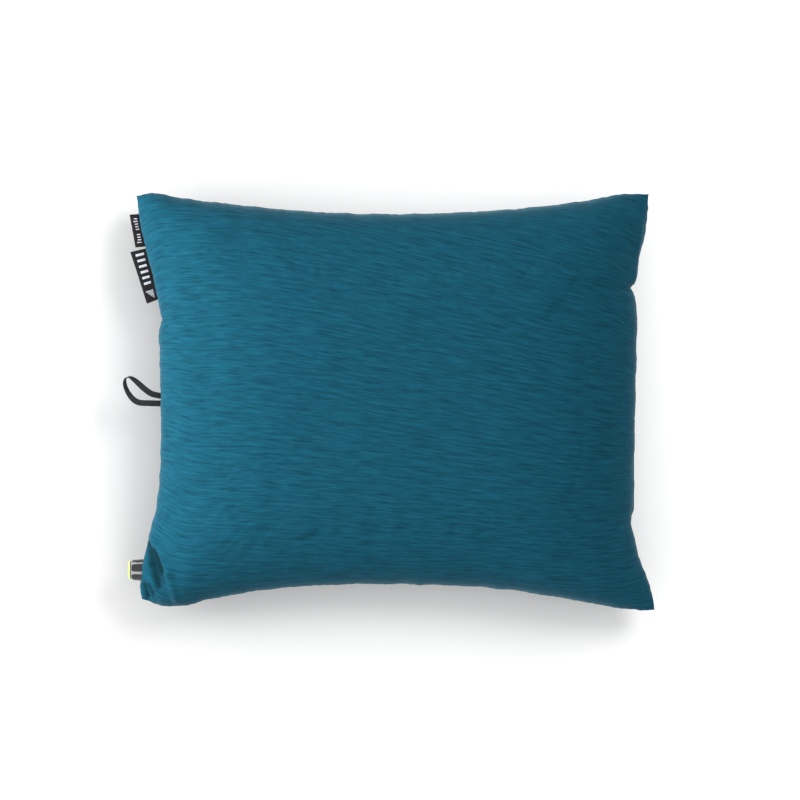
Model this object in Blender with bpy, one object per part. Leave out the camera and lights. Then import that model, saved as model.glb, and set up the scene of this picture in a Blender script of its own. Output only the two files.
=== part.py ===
"""A camp pillow: an inflatable core with a foam pad, in a zipped knit cover, and a screw valve at one corner.

Metres, +Z up. The origin is the middle of the underside, which lies on the ground. +X runs along the long
side, away from the valve, and +Y along the short side.
"""

import math

import bmesh
import bpy
from mathutils import Matrix, Vector

MM = 0.001
GAP = 0.3 * MM  # left between pieces that touch

# The cover's outline, from the middle of the pillow to its corners
HALF_WIDTH = 279 * MM
HALF_DEPTH = 224 * MM
LEFT_PULL = 25.5 * MM  # how far the middle of each side is pulled in from the corners
RIGHT_PULL = 20.5 * MM
END_PULL = 24.5 * MM
LEFT_STRAIGHT = 0.44  # share of each side that stays straight between the flared corners
RIGHT_STRAIGHT = 0.58
FLARE_POWER = 1.2
END_POWER = 1.8

# The cover's height
SEAM_HEIGHT = 58 * MM
CORNER_DROOP = 12 * MM  # the seam sinks this much towards each corner
TOP_RISE = 67 * MM
UNDER_RISE = -62 * MM
ROUNDNESS = 5  # higher is flatter on top and rounder at the edges

# Fabric, foam and film
COVER_THICK = 1.2 * MM
FOAM_INSET = 8 * MM
FOAM_TOP_RISE = 61 * MM
FOAM_UNDER_RISE = 49.5 * MM
FOAM_REACH = 0.93
BLADDER_INSET = 11.5 * MM
BLADDER_TOP_RISE = 48 * MM
BLADDER_UNDER_RISE = -55 * MM
BLADDER_FLOOR = 5 * MM
FILM_THICK = 0.8 * MM
CHAMBER = 0.965  # share of the bladder inside its welded flange
CHAMBER_WALL = 0.005
BAFFLE_LINES = (-0.6, -0.2, 0.2, 0.6)
BAFFLE_REACH = 0.8
BAFFLE_FLANGE = 6 * MM
BAFFLE_WEB = 0.4 * MM
BAFFLE_CLEAR = 0.8 * MM

# The valve. Its own Z axis points out of the pillow, and its zero is at the cover's edge
VALVE_Y = -182 * MM
VALVE_EDGE_X = -273 * MM
PORT_RADIUS = 13 * MM
STEM_RADIUS = 7 * MM
STEM_BORE = 4.8 * MM
STEM_IN = -24 * MM
STEM_OUT = 9 * MM
KNOB_IN = -9 * MM
KNOB_OUT = 13 * MM
KNOB_BORE = 7.3 * MM
KNOB_BASE_RADIUS = 12.2 * MM
KNOB_TIP_RADIUS = 10.4 * MM
KNOB_WALL_IN = 10.3 * MM
KNOB_HOLE = 3.75 * MM
GRIPS = 6
FLUTE_TURN = math.radians(-12)
GRIP_DEPTH = 1.1 * MM
PLUG_RADIUS = 3.4 * MM
MOUTH_RADIUS = 10.2 * MM
MOUTH_HOLE = 4.2 * MM
MOUTH_THICK = 2.2 * MM
SEAL_AT = 1.2 * MM
SEAL_RADIUS = 7.85 * MM
SEAL_SECTION = 0.5 * MM
PITCH = 8 * MM
TURN = math.radians(270)
LUG_AT = -7 * MM
LUG_SPAN = math.radians(30)
BOAT_HALF_LENGTH = 20 * MM
BOAT_HALF_HEIGHT = 8.8 * MM
BOAT_IN = -24 * MM
BOAT_OUT = -10 * MM

# The zip, set in the underside just below the right seam. It runs along Y
ZIP_DROP = 16 * MM  # below the seam
ZIP_START_Y = -112 * MM
ZIP_END_Y = 110 * MM
ZIP_SLOT = 4.9 * MM
TAPE_EDGE = 1.6 * MM
TAPE_WIDTH = 10 * MM
TAPE_DEPTH = 2.2 * MM
TAPE_THICK = 0.6 * MM
COIL_IN, COIL_OUT = 0.6 * MM, 2.9 * MM
COIL_LOW, COIL_HIGH = -1.7 * MM, -0.2 * MM
TOOTH_PITCH = 6 * MM
TOOTH_DEPTH = 0.9 * MM
STOP_LENGTH = 3 * MM
SLIDER_Y = -98 * MM
SLIDER_LENGTH = 11 * MM
SLIDER_HALF = 4.4 * MM
SLIDER_FLANGE = 1.1 * MM
BRIDGE_HALF = 0.9 * MM
WEDGE_HALF = 0.22 * MM  # between the two coils
PLATE = 1.0 * MM
PULL_PIVOT = 1.85 * MM  # above the zip's plane
PULL_LENGTH = 22 * MM
PULL_HALF = 3.2 * MM
PULL_THICK = 0.9 * MM
PULL_ARC = 8  # straight sides round its tip

# What is sewn into the left seam
LABEL_THICK = 0.9 * MM
LABEL_STEPS = 4
SEAM_CLEAR = 1.6 * MM
LOOP_WIDTH = 6.4 * MM
LOOP_THICK = 0.8 * MM

COLOURS = {
    "teal_knit": ("#1f6078", 0.9, 0.0),
    "black_webbing": ("#101012", 0.8, 0.0),
    "label": ("#1c1c1f", 0.7, 0.0),
    "black_plastic": ("#2b2b2d", 0.35, 0.0),
    "lime_plastic": ("#d7ea6a", 0.4, 0.0),
    "rubber": ("#1a1a1a", 0.7, 0.0),
    "foam": ("#dfe3e4", 1.0, 0.0),
    "film": ("#a9b0b3", 0.5, 0.0),
    "zip_tape": ("#20313a", 0.8, 0.0),
    "zip_nylon": ("#1b2a32", 0.4, 0.0),
    "zip_metal": ("#3c3e42", 0.4, 1.0),
}


# ---------------------------------------------------------------- helpers


def clear_scene():
    for obj in list(bpy.data.objects):
        bpy.data.objects.remove(obj)


def material(name):
    made = bpy.data.materials.get(name)
    if made:
        return made
    code, roughness, metallic = COLOURS[name]
    made = bpy.data.materials.new(name)
    made.use_nodes = True
    shader = made.node_tree.nodes["Principled BSDF"]
    parts = [int(code[i : i + 2], 16) / 255 for i in (1, 3, 5)]
    linear = [c / 12.92 if c <= 0.04045 else ((c + 0.055) / 1.055) ** 2.4 for c in parts]
    shader.inputs["Base Color"].default_value = (*linear, 1)
    shader.inputs["Roughness"].default_value = roughness
    shader.inputs["Metallic"].default_value = metallic
    made.diffuse_color = (*linear, 1)
    return made


def add_object(name, points, faces, colour=None, parent=None, helper=False):
    """A mesh object. A helper is a cutter or a piece to be fused, so it isn't a part of the model."""
    mesh = bpy.data.meshes.new(name)
    mesh.from_pydata([tuple(p) for p in points], [], faces)
    bm = bmesh.new()
    bm.from_mesh(mesh)
    bmesh.ops.recalc_face_normals(bm, faces=bm.faces)
    if bm.calc_volume(signed=True) < 0:
        bmesh.ops.reverse_faces(bm, faces=bm.faces)
    bm.to_mesh(mesh)
    bm.free()
    obj = bpy.data.objects.new(name, mesh)
    bpy.context.scene.collection.objects.link(obj)
    if parent:
        obj.parent = parent
    if helper:
        obj.hide_render = True
        obj.display_type = "WIRE"
    else:
        mesh.materials.append(material(colour))
    return obj


def add_empty(name, matrix):
    empty = bpy.data.objects.new(name, None)
    bpy.context.scene.collection.objects.link(empty)
    empty.matrix_world = matrix
    return empty


def boolean(obj, tools, operation):
    for tool in tools:
        modifier = obj.modifiers.new(operation.title(), "BOOLEAN")
        modifier.operation = operation
        modifier.solver = "EXACT"
        modifier.object = tool


def cut(obj, *tools):
    boolean(obj, tools, "DIFFERENCE")


def fuse(obj, *tools):
    boolean(obj, tools, "UNION")


def smooth(obj, degrees=35):
    obj.data.shade_smooth()
    obj.data.set_sharp_from_angle(angle=math.radians(degrees))


def box(name, low, high, **kwargs):
    xs, ys, zs = zip(low, high)
    points = [(x, y, z) for x in xs for y in ys for z in zs]
    faces = [(0, 1, 3, 2), (4, 6, 7, 5), (0, 4, 5, 1), (2, 3, 7, 6), (0, 2, 6, 4), (1, 5, 7, 3)]
    return add_object(name, points, faces, **kwargs)


def prism(name, outline, low, high, axis=2, **kwargs):
    """An outline, extruded along axis. Its two coordinates are the other two axes, in order."""
    count = len(outline)
    points = []
    for level in (low, high):
        for first, second in outline:
            point = [first, second]
            point.insert(axis, level)
            points.append(point)
    faces = [tuple(range(count)), tuple(range(2 * count - 1, count - 1, -1))]
    faces += [(i, (i + 1) % count, count + (i + 1) % count, count + i) for i in range(count)]
    return add_object(name, points, faces, **kwargs)


def turned(name, profile, steps, shape=None, **kwargs):
    """A closed profile of (radius, height) turned about Z. A radius of 0 makes a pole."""
    points, rings = [], []
    for radius, height in profile:
        if radius == 0:
            rings.append([len(points)] * steps)
            points.append((0, 0, height))
            continue
        rings.append(list(range(len(points), len(points) + steps)))
        for step in range(steps):
            angle = math.tau * step / steps
            reach = shape(radius, height, angle) if shape else radius
            points.append((reach * math.cos(angle), reach * math.sin(angle), height))
    faces = []
    for here, there in zip(rings, rings[1:] + rings[:1]):
        for i in range(steps):
            j = (i + 1) % steps
            corners = list(dict.fromkeys((here[i], here[j], there[j], there[i])))
            if len(corners) > 2:
                faces.append(corners)
    return add_object(name, points, faces, **kwargs)


def swept_section(name, sections, **kwargs):
    """A closed solid through sections of equal length, capped at both ends."""
    count = len(sections[0])
    points = [p for section in sections for p in section]
    faces = [tuple(range(count)), tuple(range(len(points) - 1, len(points) - count - 1, -1))]
    for s in range(len(sections) - 1):
        for i in range(count):
            j = (i + 1) % count
            faces.append((s * count + i, s * count + j, (s + 1) * count + j, (s + 1) * count + i))
    return add_object(name, points, faces, **kwargs)


def helix(name, start, span, at, inner, outer, half_height, **kwargs):
    """A bar that climbs about Z by PITCH a turn, from the angle start at height at."""
    steps = max(2, round(span / math.radians(15)))
    sections = []
    for step in range(steps + 1):
        angle = start + span * step / steps
        middle = at + PITCH * (angle - start) / math.tau
        aim = Vector((math.cos(angle), math.sin(angle), 0))
        up = Vector((0, 0, half_height))
        base = Vector((0, 0, middle))
        corners = ((inner, -1), (outer, -1), (outer, 1), (inner, 1))
        sections.append([aim * radius + base + side * up for radius, side in corners])
    return swept_section(name, sections, **kwargs)


# ---------------------------------------------------------------- the pillow's form


def side_reach(v, u):
    """How far the left or right side lies from the middle, v of the way up it."""
    straight, pull = (RIGHT_STRAIGHT, RIGHT_PULL) if u > 0 else (LEFT_STRAIGHT, LEFT_PULL)
    flare = max(0.0, (abs(v) - straight) / (1 - straight)) ** FLARE_POWER
    return HALF_WIDTH - pull * (1 - flare)


def end_reach(u):
    return HALF_DEPTH - END_PULL * (1 - abs(u) ** END_POWER)


def seam_height(x, y):
    corner = min(1.0, abs(x) / HALF_WIDTH) * min(1.0, abs(y) / HALF_DEPTH)
    return SEAM_HEIGHT - CORNER_DROOP * corner**3


class Level:
    """One skin. Rise is its height over the seam in the middle, and chamber the share that rises."""

    def __init__(self, inset, rise, lift=0.0, chamber=1.0, floor=0.0):
        self.inset, self.rise, self.lift, self.chamber, self.floor = inset, rise, lift, chamber, floor

    def point(self, u, v):
        x = u * (side_reach(v, u) - self.inset)
        y = v * (end_reach(u) - self.inset)
        along, across = (min(1.0, abs(s) / self.chamber) for s in (u, v))
        loft = math.sqrt((1 - along**ROUNDNESS) * (1 - across**ROUNDNESS))
        z = seam_height(x, y) + self.lift + self.rise * loft
        return Vector((x, y, max(z, self.floor)))


def spread(low, high, count):
    """Values from low to high, closer together towards -1 and 1."""
    ends = [math.asin(max(-1.0, min(1.0, s))) for s in (low, high)]
    return [math.sin(ends[0] + (ends[1] - ends[0]) * i / count) for i in range(count + 1)]


def patch(name, us, vs, outside, inside, colour, helper=False):
    """A closed solid between two levels."""
    rows, columns = len(us), len(vs)
    points = [level.point(u, v) for level in (outside, inside) for u in us for v in vs]
    skin = rows * columns

    def at(i, j, k=0):
        return k * skin + i * columns + j

    faces = []
    for i in range(rows - 1):
        for j in range(columns - 1):
            # Both skins are split along the diagonal that points out to the corner, so they stay clear
            corners = [at(i, j), at(i + 1, j), at(i + 1, j + 1), at(i, j + 1)]
            if (us[i] + us[i + 1]) * (vs[j] + vs[j + 1]) < 0:
                corners = corners[1:] + corners[:1]
            for triangle in (corners[:3], corners[2:] + corners[:1]):
                faces.append(triangle)
                faces.append([skin + n for n in reversed(triangle)])
    rim = [at(i, 0) for i in range(rows)]
    rim += [at(rows - 1, j) for j in range(1, columns)]
    rim += [at(i, columns - 1) for i in range(rows - 2, -1, -1)]
    rim += [at(0, j) for j in range(columns - 2, 0, -1)]
    for a, b in zip(rim, rim[1:] + rim[:1]):
        faces.append((a, b, skin + b, skin + a))
    obj = add_object(name, points, faces, colour=colour, helper=helper)
    smooth(obj)
    return obj


def cover_level(side, depth):
    """The cover's skin on its top (side 1) or underside (side -1), depth below its outer face."""
    rise = TOP_RISE if side > 0 else UNDER_RISE
    return Level(depth, rise - side * depth, lift=side * GAP / 2, floor=depth)


# ---------------------------------------------------------------- frames of the valve and the zip


def valve_frame():
    """Local Z points out of the pillow, along -X."""
    turn = Matrix(((0, 0, -1), (0, 1, 0), (1, 0, 0))).to_4x4()
    place = Matrix.Translation((VALVE_EDGE_X, VALVE_Y, seam_height(VALVE_EDGE_X, VALVE_Y)))
    return add_empty("valve_axis", place @ turn)


def zip_frame():
    """Local X runs along the zip, Y across it and up, and Z out of the cover."""
    share = (ZIP_DROP / UNDER_RISE) ** 2
    u = (1 - share) ** (1 / ROUNDNESS)
    reach = side_reach(0, 1)
    slope = 2 * ZIP_DROP * reach / (UNDER_RISE**2 * ROUNDNESS * u ** (ROUNDNESS - 1))
    down = math.atan(slope)
    out = Vector((math.cos(down), 0, -math.sin(down)))
    along = Vector((0, 1, 0))
    across = out.cross(along)
    turn = Matrix((along, across, out)).transposed().to_4x4()
    place = Matrix.Translation((u * reach, 0, SEAM_HEIGHT - ZIP_DROP))
    return add_empty("zip_line", place @ turn)


# ---------------------------------------------------------------- sub-parts


def make_cover(valve, zip_line):
    us = sorted({*spread(-1, 1, 16), *wall_us(-1), *wall_us(1)})
    vs = spread(-1, 1, 14)
    top = patch("cover_top", us, vs, cover_level(1, 0), cover_level(1, COVER_THICK), "teal_knit")
    under = patch("cover_bottom", us, vs, cover_level(-1, 0), cover_level(-1, COVER_THICK), "teal_knit")
    port_profile = [(0, -18 * MM), (PORT_RADIUS, -18 * MM), (PORT_RADIUS, 20 * MM), (0, 20 * MM)]
    port = turned("port_cutter", port_profile, 32, helper=True, parent=valve)
    low = (ZIP_START_Y, -ZIP_SLOT, -9 * MM)
    high = (ZIP_END_Y, ZIP_SLOT, 7 * MM)
    slot = box("zip_slot_cutter", low, high, helper=True, parent=zip_line)
    cut(top, port)
    cut(under, port, slot)


def make_core(valve):
    """The foam pad over the welded bladder, with the film strips that hold its two walls together."""
    us, vs = spread(-FOAM_REACH, FOAM_REACH, 12), spread(-FOAM_REACH, FOAM_REACH, 10)
    upper, lower = Level(FOAM_INSET, FOAM_TOP_RISE), Level(FOAM_INSET, FOAM_UNDER_RISE)
    patch("foam_pad", us, vs, upper, lower, "foam")

    boat_cutter = lens("boat_cutter", GAP, valve, helper=True)
    us = spread(-1, 1, 14)
    vs = sorted({*spread(-1, 1, 8), *BAFFLE_LINES})
    inner = {}
    halves = (("bladder_top", 1, BLADDER_TOP_RISE), ("bladder_bottom", -1, BLADDER_UNDER_RISE))
    for name, side, rise in halves:
        near = side * GAP / 2
        outside = Level(BLADDER_INSET, rise, near + side * FILM_THICK, CHAMBER, BLADDER_FLOOR)
        inside = Level(BLADDER_INSET, rise, near, CHAMBER - CHAMBER_WALL, BLADDER_FLOOR + FILM_THICK)
        cut(patch(name, us, vs, outside, inside, "film"), boat_cutter)
        inner[side] = inside
    stations = [u for u in us if abs(u) < BAFFLE_REACH]
    for number, line in enumerate(BAFFLE_LINES, 1):
        make_baffle(f"baffle_{number}", line, stations, inner)


def make_baffle(name, line, stations, inner):
    """An I-section film strip along the bladder, from one wall to the other."""
    sections = []
    for u in stations:
        side = BAFFLE_FLANGE / end_reach(u)
        walls = {}
        for step in (-1, 0, 1):
            for wall, level in inner.items():
                point = level.point(u, line + step * side)
                walls[wall, step] = point - Vector((0, 0, wall * BAFFLE_CLEAR))
        film = Vector((0, 0, FILM_THICK))
        web = Vector((0, BAFFLE_WEB, 0))
        top, bottom = walls[1, 0] - film, walls[-1, 0] + film
        sections.append(
            [walls[1, -1], walls[1, 0], walls[1, 1], walls[1, 1] - film, top + web, bottom + web]
            + [walls[-1, 1] + film, walls[-1, 1], walls[-1, 0], walls[-1, -1], walls[-1, -1] + film]
            + [bottom - web, top - web, walls[1, -1] - film]
        )
    swept_section(name, sections, colour="film")


def lens(name, grow, valve, **kwargs):
    """The boat's outline, two arcs that meet in thin ends, in the valve's frame: X up, Y along the seam."""
    half_length, half_height = BOAT_HALF_LENGTH + 2 * grow, BOAT_HALF_HEIGHT + grow
    radius = (half_length**2 + half_height**2) / (2 * half_height)
    end = math.asin(half_length / radius)
    angles = [end * (1 - i / 5) for i in range(11)]
    arc = [(radius * (math.cos(a) - 1) + half_height, radius * math.sin(a)) for a in angles]
    outline = arc + [(-x, y) for x, y in arc[-2:0:-1]]
    return prism(name, outline, BOAT_IN - grow, BOAT_OUT + grow, parent=valve, **kwargs)


def make_valve(valve):
    boat = lens("valve_boat", 0, valve, colour="black_plastic")
    reach = STEM_RADIUS + GAP
    bore = [(0, BOAT_IN - MM), (reach, BOAT_IN - MM), (reach, BOAT_OUT + MM), (0, BOAT_OUT + MM)]
    cut(boat, turned("boat_bore", bore, 32, helper=True, parent=valve))

    tube = [(STEM_BORE, STEM_IN), (STEM_RADIUS, STEM_IN), (STEM_RADIUS, STEM_OUT), (STEM_BORE, STEM_OUT)]
    stem = turned("valve_stem", tube, 32, colour="black_plastic", parent=valve)
    post = [(0, 3 * MM), (2.2 * MM, 3 * MM), (2.2 * MM, 11 * MM), (0, 11 * MM)]
    fuse(stem, turned("stem_post", post, 16, helper=True, parent=valve))
    for number in range(3):
        low, high = (1.5 * MM, -0.7 * MM, 3.4 * MM), (5.4 * MM, 0.7 * MM, 6 * MM)
        rib = box("stem_rib", low, high, helper=True, parent=valve)
        rib.rotation_euler.z = math.tau * number / 3
        fuse(stem, rib)
    margin = math.radians(3)
    start = -LUG_SPAN / 2 - margin
    span = TURN + LUG_SPAN + 2 * margin
    climb = PITCH * margin / math.tau
    groove = (start, span, LUG_AT - climb, 5.9 * MM, 7.6 * MM, 1.05 * MM)
    cut(stem, helix("cam_groove", *groove, helper=True, parent=valve))

    knob_profile = [
        (KNOB_BORE, KNOB_IN),
        (KNOB_BASE_RADIUS - 0.6 * MM, KNOB_IN),
        (KNOB_BASE_RADIUS, KNOB_IN + 0.6 * MM),
        (KNOB_BASE_RADIUS - 0.2 * MM, -4 * MM),
        (KNOB_BASE_RADIUS - 0.4 * MM, -1 * MM),
        (KNOB_BASE_RADIUS - 0.8 * MM, 4 * MM),
        (KNOB_BASE_RADIUS - 1.2 * MM, 9 * MM),
        (KNOB_TIP_RADIUS + 0.4 * MM, KNOB_OUT - 0.8 * MM),
        (KNOB_TIP_RADIUS - 0.4 * MM, KNOB_OUT),
        (KNOB_HOLE, KNOB_OUT),
        (KNOB_HOLE, KNOB_WALL_IN),
        (KNOB_BORE, KNOB_WALL_IN),
        (KNOB_BORE, SEAL_AT + 1 * MM),
        (8.6 * MM, SEAL_AT + 1 * MM),
        (8.6 * MM, SEAL_AT - 1 * MM),
        (KNOB_BORE, SEAL_AT - 1 * MM),
    ]
    knob = turned("valve_knob", knob_profile, 40, grip, colour="black_plastic", parent=valve)
    lug = (-LUG_SPAN / 2, LUG_SPAN, LUG_AT - PITCH * LUG_SPAN / 2 / math.tau, 6.3 * MM, 8.2 * MM, 0.7 * MM)
    fuse(knob, helix("cam_lug", *lug, helper=True, parent=valve))
    smooth(knob)

    base = KNOB_OUT + GAP
    mouth = [
        (MOUTH_HOLE, base),
        (MOUTH_RADIUS, base),
        (MOUTH_RADIUS, base + 0.6 * MOUTH_THICK),
        (MOUTH_RADIUS - 0.8 * MM, base + MOUTH_THICK),
        (MOUTH_HOLE, base + MOUTH_THICK),
    ]
    smooth(turned("valve_mouthpiece", mouth, 32, colour="lime_plastic", parent=valve))

    plug_rim = [(PLUG_RADIUS, 11.3 * MM), (PLUG_RADIUS, 12.7 * MM), (2.8 * MM, 13.2 * MM)]
    plug = [(0, 11.3 * MM), *plug_rim, (0, 13.2 * MM)]
    smooth(turned("valve_plug", plug, 24, colour="rubber", parent=valve))

    ring = []
    for step in range(6):
        angle = math.tau * step / 6
        across, along = SEAL_SECTION * math.cos(angle), SEAL_SECTION * math.sin(angle)
        ring.append((SEAL_RADIUS + across, SEAL_AT + along))
    smooth(turned("valve_seal", ring, 24, colour="rubber", parent=valve), 60)


def grip(radius, height, angle):
    """The knob's outer wall, with a flute between each two finger grips."""
    if radius < KNOB_TIP_RADIUS - MM or not -6 * MM < height < 11 * MM:
        return radius
    wave = math.cos(GRIPS * (angle - FLUTE_TURN))
    return radius - GRIP_DEPTH * max(0.0, wave) ** 0.6


def wall_us(side):
    """Where a zip tape's edges and middle lie on the underside: side 1 is the tape below the teeth."""
    drops = [ZIP_DROP + side * (TAPE_EDGE + TAPE_WIDTH * i / 2) for i in range(3)]
    return [(1 - (drop / UNDER_RISE) ** 2) ** (1 / ROUNDNESS) for drop in drops]


def make_zip(zip_line):
    outside, inside = cover_level(-1, TAPE_DEPTH), cover_level(-1, TAPE_DEPTH + TAPE_THICK)
    reach = (ZIP_END_Y + 4 * MM) / (end_reach(1) - TAPE_DEPTH)
    for name, side in (("zip_tape_upper", -1), ("zip_tape_lower", 1)):
        vs = [reach * (2 * i / 10 - 1) for i in range(11)]
        patch(name, wall_us(side), vs, outside, inside, "zip_tape")

    start, end = ZIP_START_Y + 6.5 * MM, ZIP_END_Y - 4.5 * MM
    for name, side, shift in (("zip_coil_upper", 1, 0), ("zip_coil_lower", -1, 0.5)):
        outline = [(end, side * COIL_OUT), (start, side * COIL_OUT)]
        count = int((end - start) / TOOTH_PITCH) - 1
        for tooth in range(count):
            left = start + (tooth + shift) * TOOTH_PITCH
            crest, root = side * COIL_IN, side * (COIL_IN + TOOTH_DEPTH)
            outline += [(left, root), (left + TOOTH_PITCH / 2, root)] if tooth or shift else []
            outline += [(left + TOOTH_PITCH / 2, crest), (left + TOOTH_PITCH, crest)]
        outline.append((end, side * COIL_IN))
        prism(name, outline, COIL_LOW, COIL_HIGH, colour="zip_nylon", parent=zip_line)

    stops = (("zip_stop_closed", start - GAP - STOP_LENGTH), ("zip_stop_open", end + GAP))
    for name, at in stops:
        low, high = (at, -3 * MM, COIL_LOW), (at + STOP_LENGTH, 3 * MM, 0)
        box(name, low, high, colour="zip_metal", parent=zip_line)


def make_slider(zip_line):
    """The slider's two plates hold the coils between them, and its bridge holds the pull."""
    frame = add_empty("slider", zip_line.matrix_world @ Matrix.Translation((SLIDER_Y, 0, 0)))
    half = SLIDER_LENGTH / 2
    face = 0.1 * MM
    low, high = (-half, -SLIDER_HALF, face), (half, SLIDER_HALF, face + PLATE)
    slider = box("zip_slider", low, high, colour="zip_metal", parent=frame)

    def add(start, end):
        fuse(slider, box("slider_piece", start, end, helper=True, parent=frame))

    into = face + 0.5 * PLATE
    under_half = SLIDER_HALF - 0.6 * MM
    add((-half, -under_half, -4.6 * MM), (half, under_half, -3.6 * MM))
    for side in (-1, 1):
        flange = sorted((side * SLIDER_HALF, side * (SLIDER_HALF - SLIDER_FLANGE)))
        add((-half, flange[0], -1.6 * MM), (half, flange[1], into))
        post = side * 2.85 * MM
        add((post - 0.65 * MM, -BRIDGE_HALF, 0.6 * MM), (post + 0.65 * MM, BRIDGE_HALF, 3 * MM))
    add((-3.5 * MM, -BRIDGE_HALF, 2.6 * MM), (3.5 * MM, BRIDGE_HALF, 3.4 * MM))
    add((-half, -WEDGE_HALF, -4.1 * MM), (-half + 2.4 * MM, WEDGE_HALF, into))

    pivot = add_empty("pull_pivot", frame.matrix_world @ Matrix.Translation((0, 0, PULL_PIVOT)))
    thick = PULL_THICK / 2
    outline = [(-thick, -PULL_HALF), (-thick, PULL_HALF)]
    for i in range(PULL_ARC + 1):
        angle = math.pi / 2 - math.pi * i / PULL_ARC
        along = PULL_LENGTH - PULL_HALF + PULL_HALF * math.cos(angle)
        outline.append((along, PULL_HALF * math.sin(angle)))
    pull = prism("zip_pull", outline, -thick, thick, colour="zip_metal", parent=pivot)
    windows = ((thick, 5.4 * MM, 1.5 * MM), (14.5 * MM, 19 * MM, 1.6 * MM))
    for start, end, width in windows:
        window = box("pull_window", (start, -width, -MM), (end, width, MM), helper=True, parent=pivot)
        cut(pull, window)


def make_labels():
    """Two woven labels sewn flat into the left seam, where it flares towards the corner."""
    for name, low, high, reaches, slant in (
        ("maker_label", 110.5 * MM, 166.5 * MM, (13.9 * MM, 21.4 * MM), 0.27),
        ("size_label", 168.5 * MM, 204 * MM, (15 * MM, 13.6 * MM), 0.1),
    ):
        outward = Vector((-1, -slant, 0)).normalized()
        half = Vector((0, 0, LABEL_THICK / 2))
        sections = []
        for step in range(LABEL_STEPS + 1):
            share = step / LABEL_STEPS
            y = low + (high - low) * share
            x = -side_reach(y / end_reach(1), -1)
            seam = Vector((x, y, seam_height(x, y)))
            root = seam + outward * SEAM_CLEAR
            tip = seam + outward * (reaches[0] + (reaches[1] - reaches[0]) * share)
            sections.append([root - half, tip - half, tip + half, root + half])
        swept_section(name, sections, colour="label")


def make_loop():
    """A folded loop of webbing. Each row is where its middle lies, and how far it has turned over."""
    route = (
        (0, -3.5, 0, 0),
        (-10.6, -3.2, 0, 0),
        (-21, -2.6, 0.1, 6),
        (-28, 1.2, 0.8, 24),
        (-33.6, 9, 2.2, 44),
        (-36.4, 17, 3.8, 58),
        (-35.6, 23, 5.2, 80),
        (-31.2, 25, 5.8, 108),
        (-24.5, 20.6, 4.8, 142),
        (-16, 12.8, 3, 166),
        (-8.3, 7.2, 1.6, 178),
        (0, 5, 1.2, 180),
    )
    x0 = -side_reach(0, -1) - SEAM_CLEAR
    middle_y = 2 * MM
    middles = [Vector((x0 + x * MM, middle_y + y * MM, SEAM_HEIGHT + z * MM)) for x, y, z, _ in route]
    sections = []
    for i, (middle, row) in enumerate(zip(middles, route)):
        ahead = middles[min(i + 1, len(middles) - 1)] - middles[max(i - 1, 0)]
        flat = Vector((0, 0, 1)).cross(ahead).normalized()
        turn = Matrix.Rotation(math.radians(row[3]), 3, ahead.normalized())
        across = turn @ flat * LOOP_WIDTH / 2
        face = ahead.normalized().cross(across).normalized() * LOOP_THICK / 2
        upper = [middle + across + face, middle - across + face]
        sections.append(upper + [middle - across - face, middle + across - face])
    swept_section("hang_loop", sections, colour="black_webbing")


def main():
    clear_scene()
    valve, zip_line = valve_frame(), zip_frame()
    bpy.context.view_layer.update()
    make_cover(valve, zip_line)
    make_core(valve)
    make_valve(valve)
    make_zip(zip_line)
    make_slider(zip_line)
    make_labels()
    make_loop()


main()
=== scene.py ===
# %% [markdown]
# # A camp pillow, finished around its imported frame
# The frame holds every solid of the pillow at its real size and place: the core, the valve, the zip and
# plain stand-ins for the soft goods. This lesson makes what the eye sees: the inflated knit cover, the
# webbing, the woven labels, the zip's real filament, and a material for every piece. Everything is in
# metres, and the pillow lies on the ground with +X along its long side, away from the valve.

# %% Load the frame
import math
import random

import bmesh
import bpy
import numpy as np
from mathutils import Matrix, Vector
from mathutils.bvhtree import BVHTree


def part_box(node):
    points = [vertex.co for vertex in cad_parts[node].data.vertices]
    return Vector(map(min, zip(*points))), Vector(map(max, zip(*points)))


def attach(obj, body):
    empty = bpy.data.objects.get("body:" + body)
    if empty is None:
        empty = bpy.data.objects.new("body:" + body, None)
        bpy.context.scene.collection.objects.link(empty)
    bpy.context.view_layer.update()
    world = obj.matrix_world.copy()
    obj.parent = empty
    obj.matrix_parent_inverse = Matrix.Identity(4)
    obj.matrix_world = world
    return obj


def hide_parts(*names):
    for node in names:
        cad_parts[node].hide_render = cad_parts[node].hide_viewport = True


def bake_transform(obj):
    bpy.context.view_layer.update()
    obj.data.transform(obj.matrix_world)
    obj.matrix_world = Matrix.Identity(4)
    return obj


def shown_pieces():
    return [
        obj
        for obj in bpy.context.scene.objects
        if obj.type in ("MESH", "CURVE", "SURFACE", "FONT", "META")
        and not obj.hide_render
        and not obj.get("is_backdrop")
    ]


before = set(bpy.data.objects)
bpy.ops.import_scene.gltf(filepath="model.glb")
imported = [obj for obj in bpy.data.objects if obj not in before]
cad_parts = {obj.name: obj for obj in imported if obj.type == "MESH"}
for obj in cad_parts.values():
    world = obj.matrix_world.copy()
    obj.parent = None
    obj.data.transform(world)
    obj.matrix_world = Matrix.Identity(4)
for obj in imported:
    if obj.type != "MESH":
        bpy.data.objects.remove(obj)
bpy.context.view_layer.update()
MM = 0.001

# %% [markdown]
# ## Two helpers that everything uses
# Artists pick colours as sRGB hex values, while a shader wants linear light, so one function turns one into
# the other. Another adds a shader node with its settings and its links, which keeps each material to a few
# lines.


# %% Colours and nodes
def linear(code, alpha=1.0):
    """An sRGB hex colour as linear RGBA."""
    parts = [int(code[i : i + 2], 16) / 255 for i in (1, 3, 5)]
    return (*[c / 12.92 if c <= 0.04045 else ((c + 0.055) / 1.055) ** 2.4 for c in parts], alpha)


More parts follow.
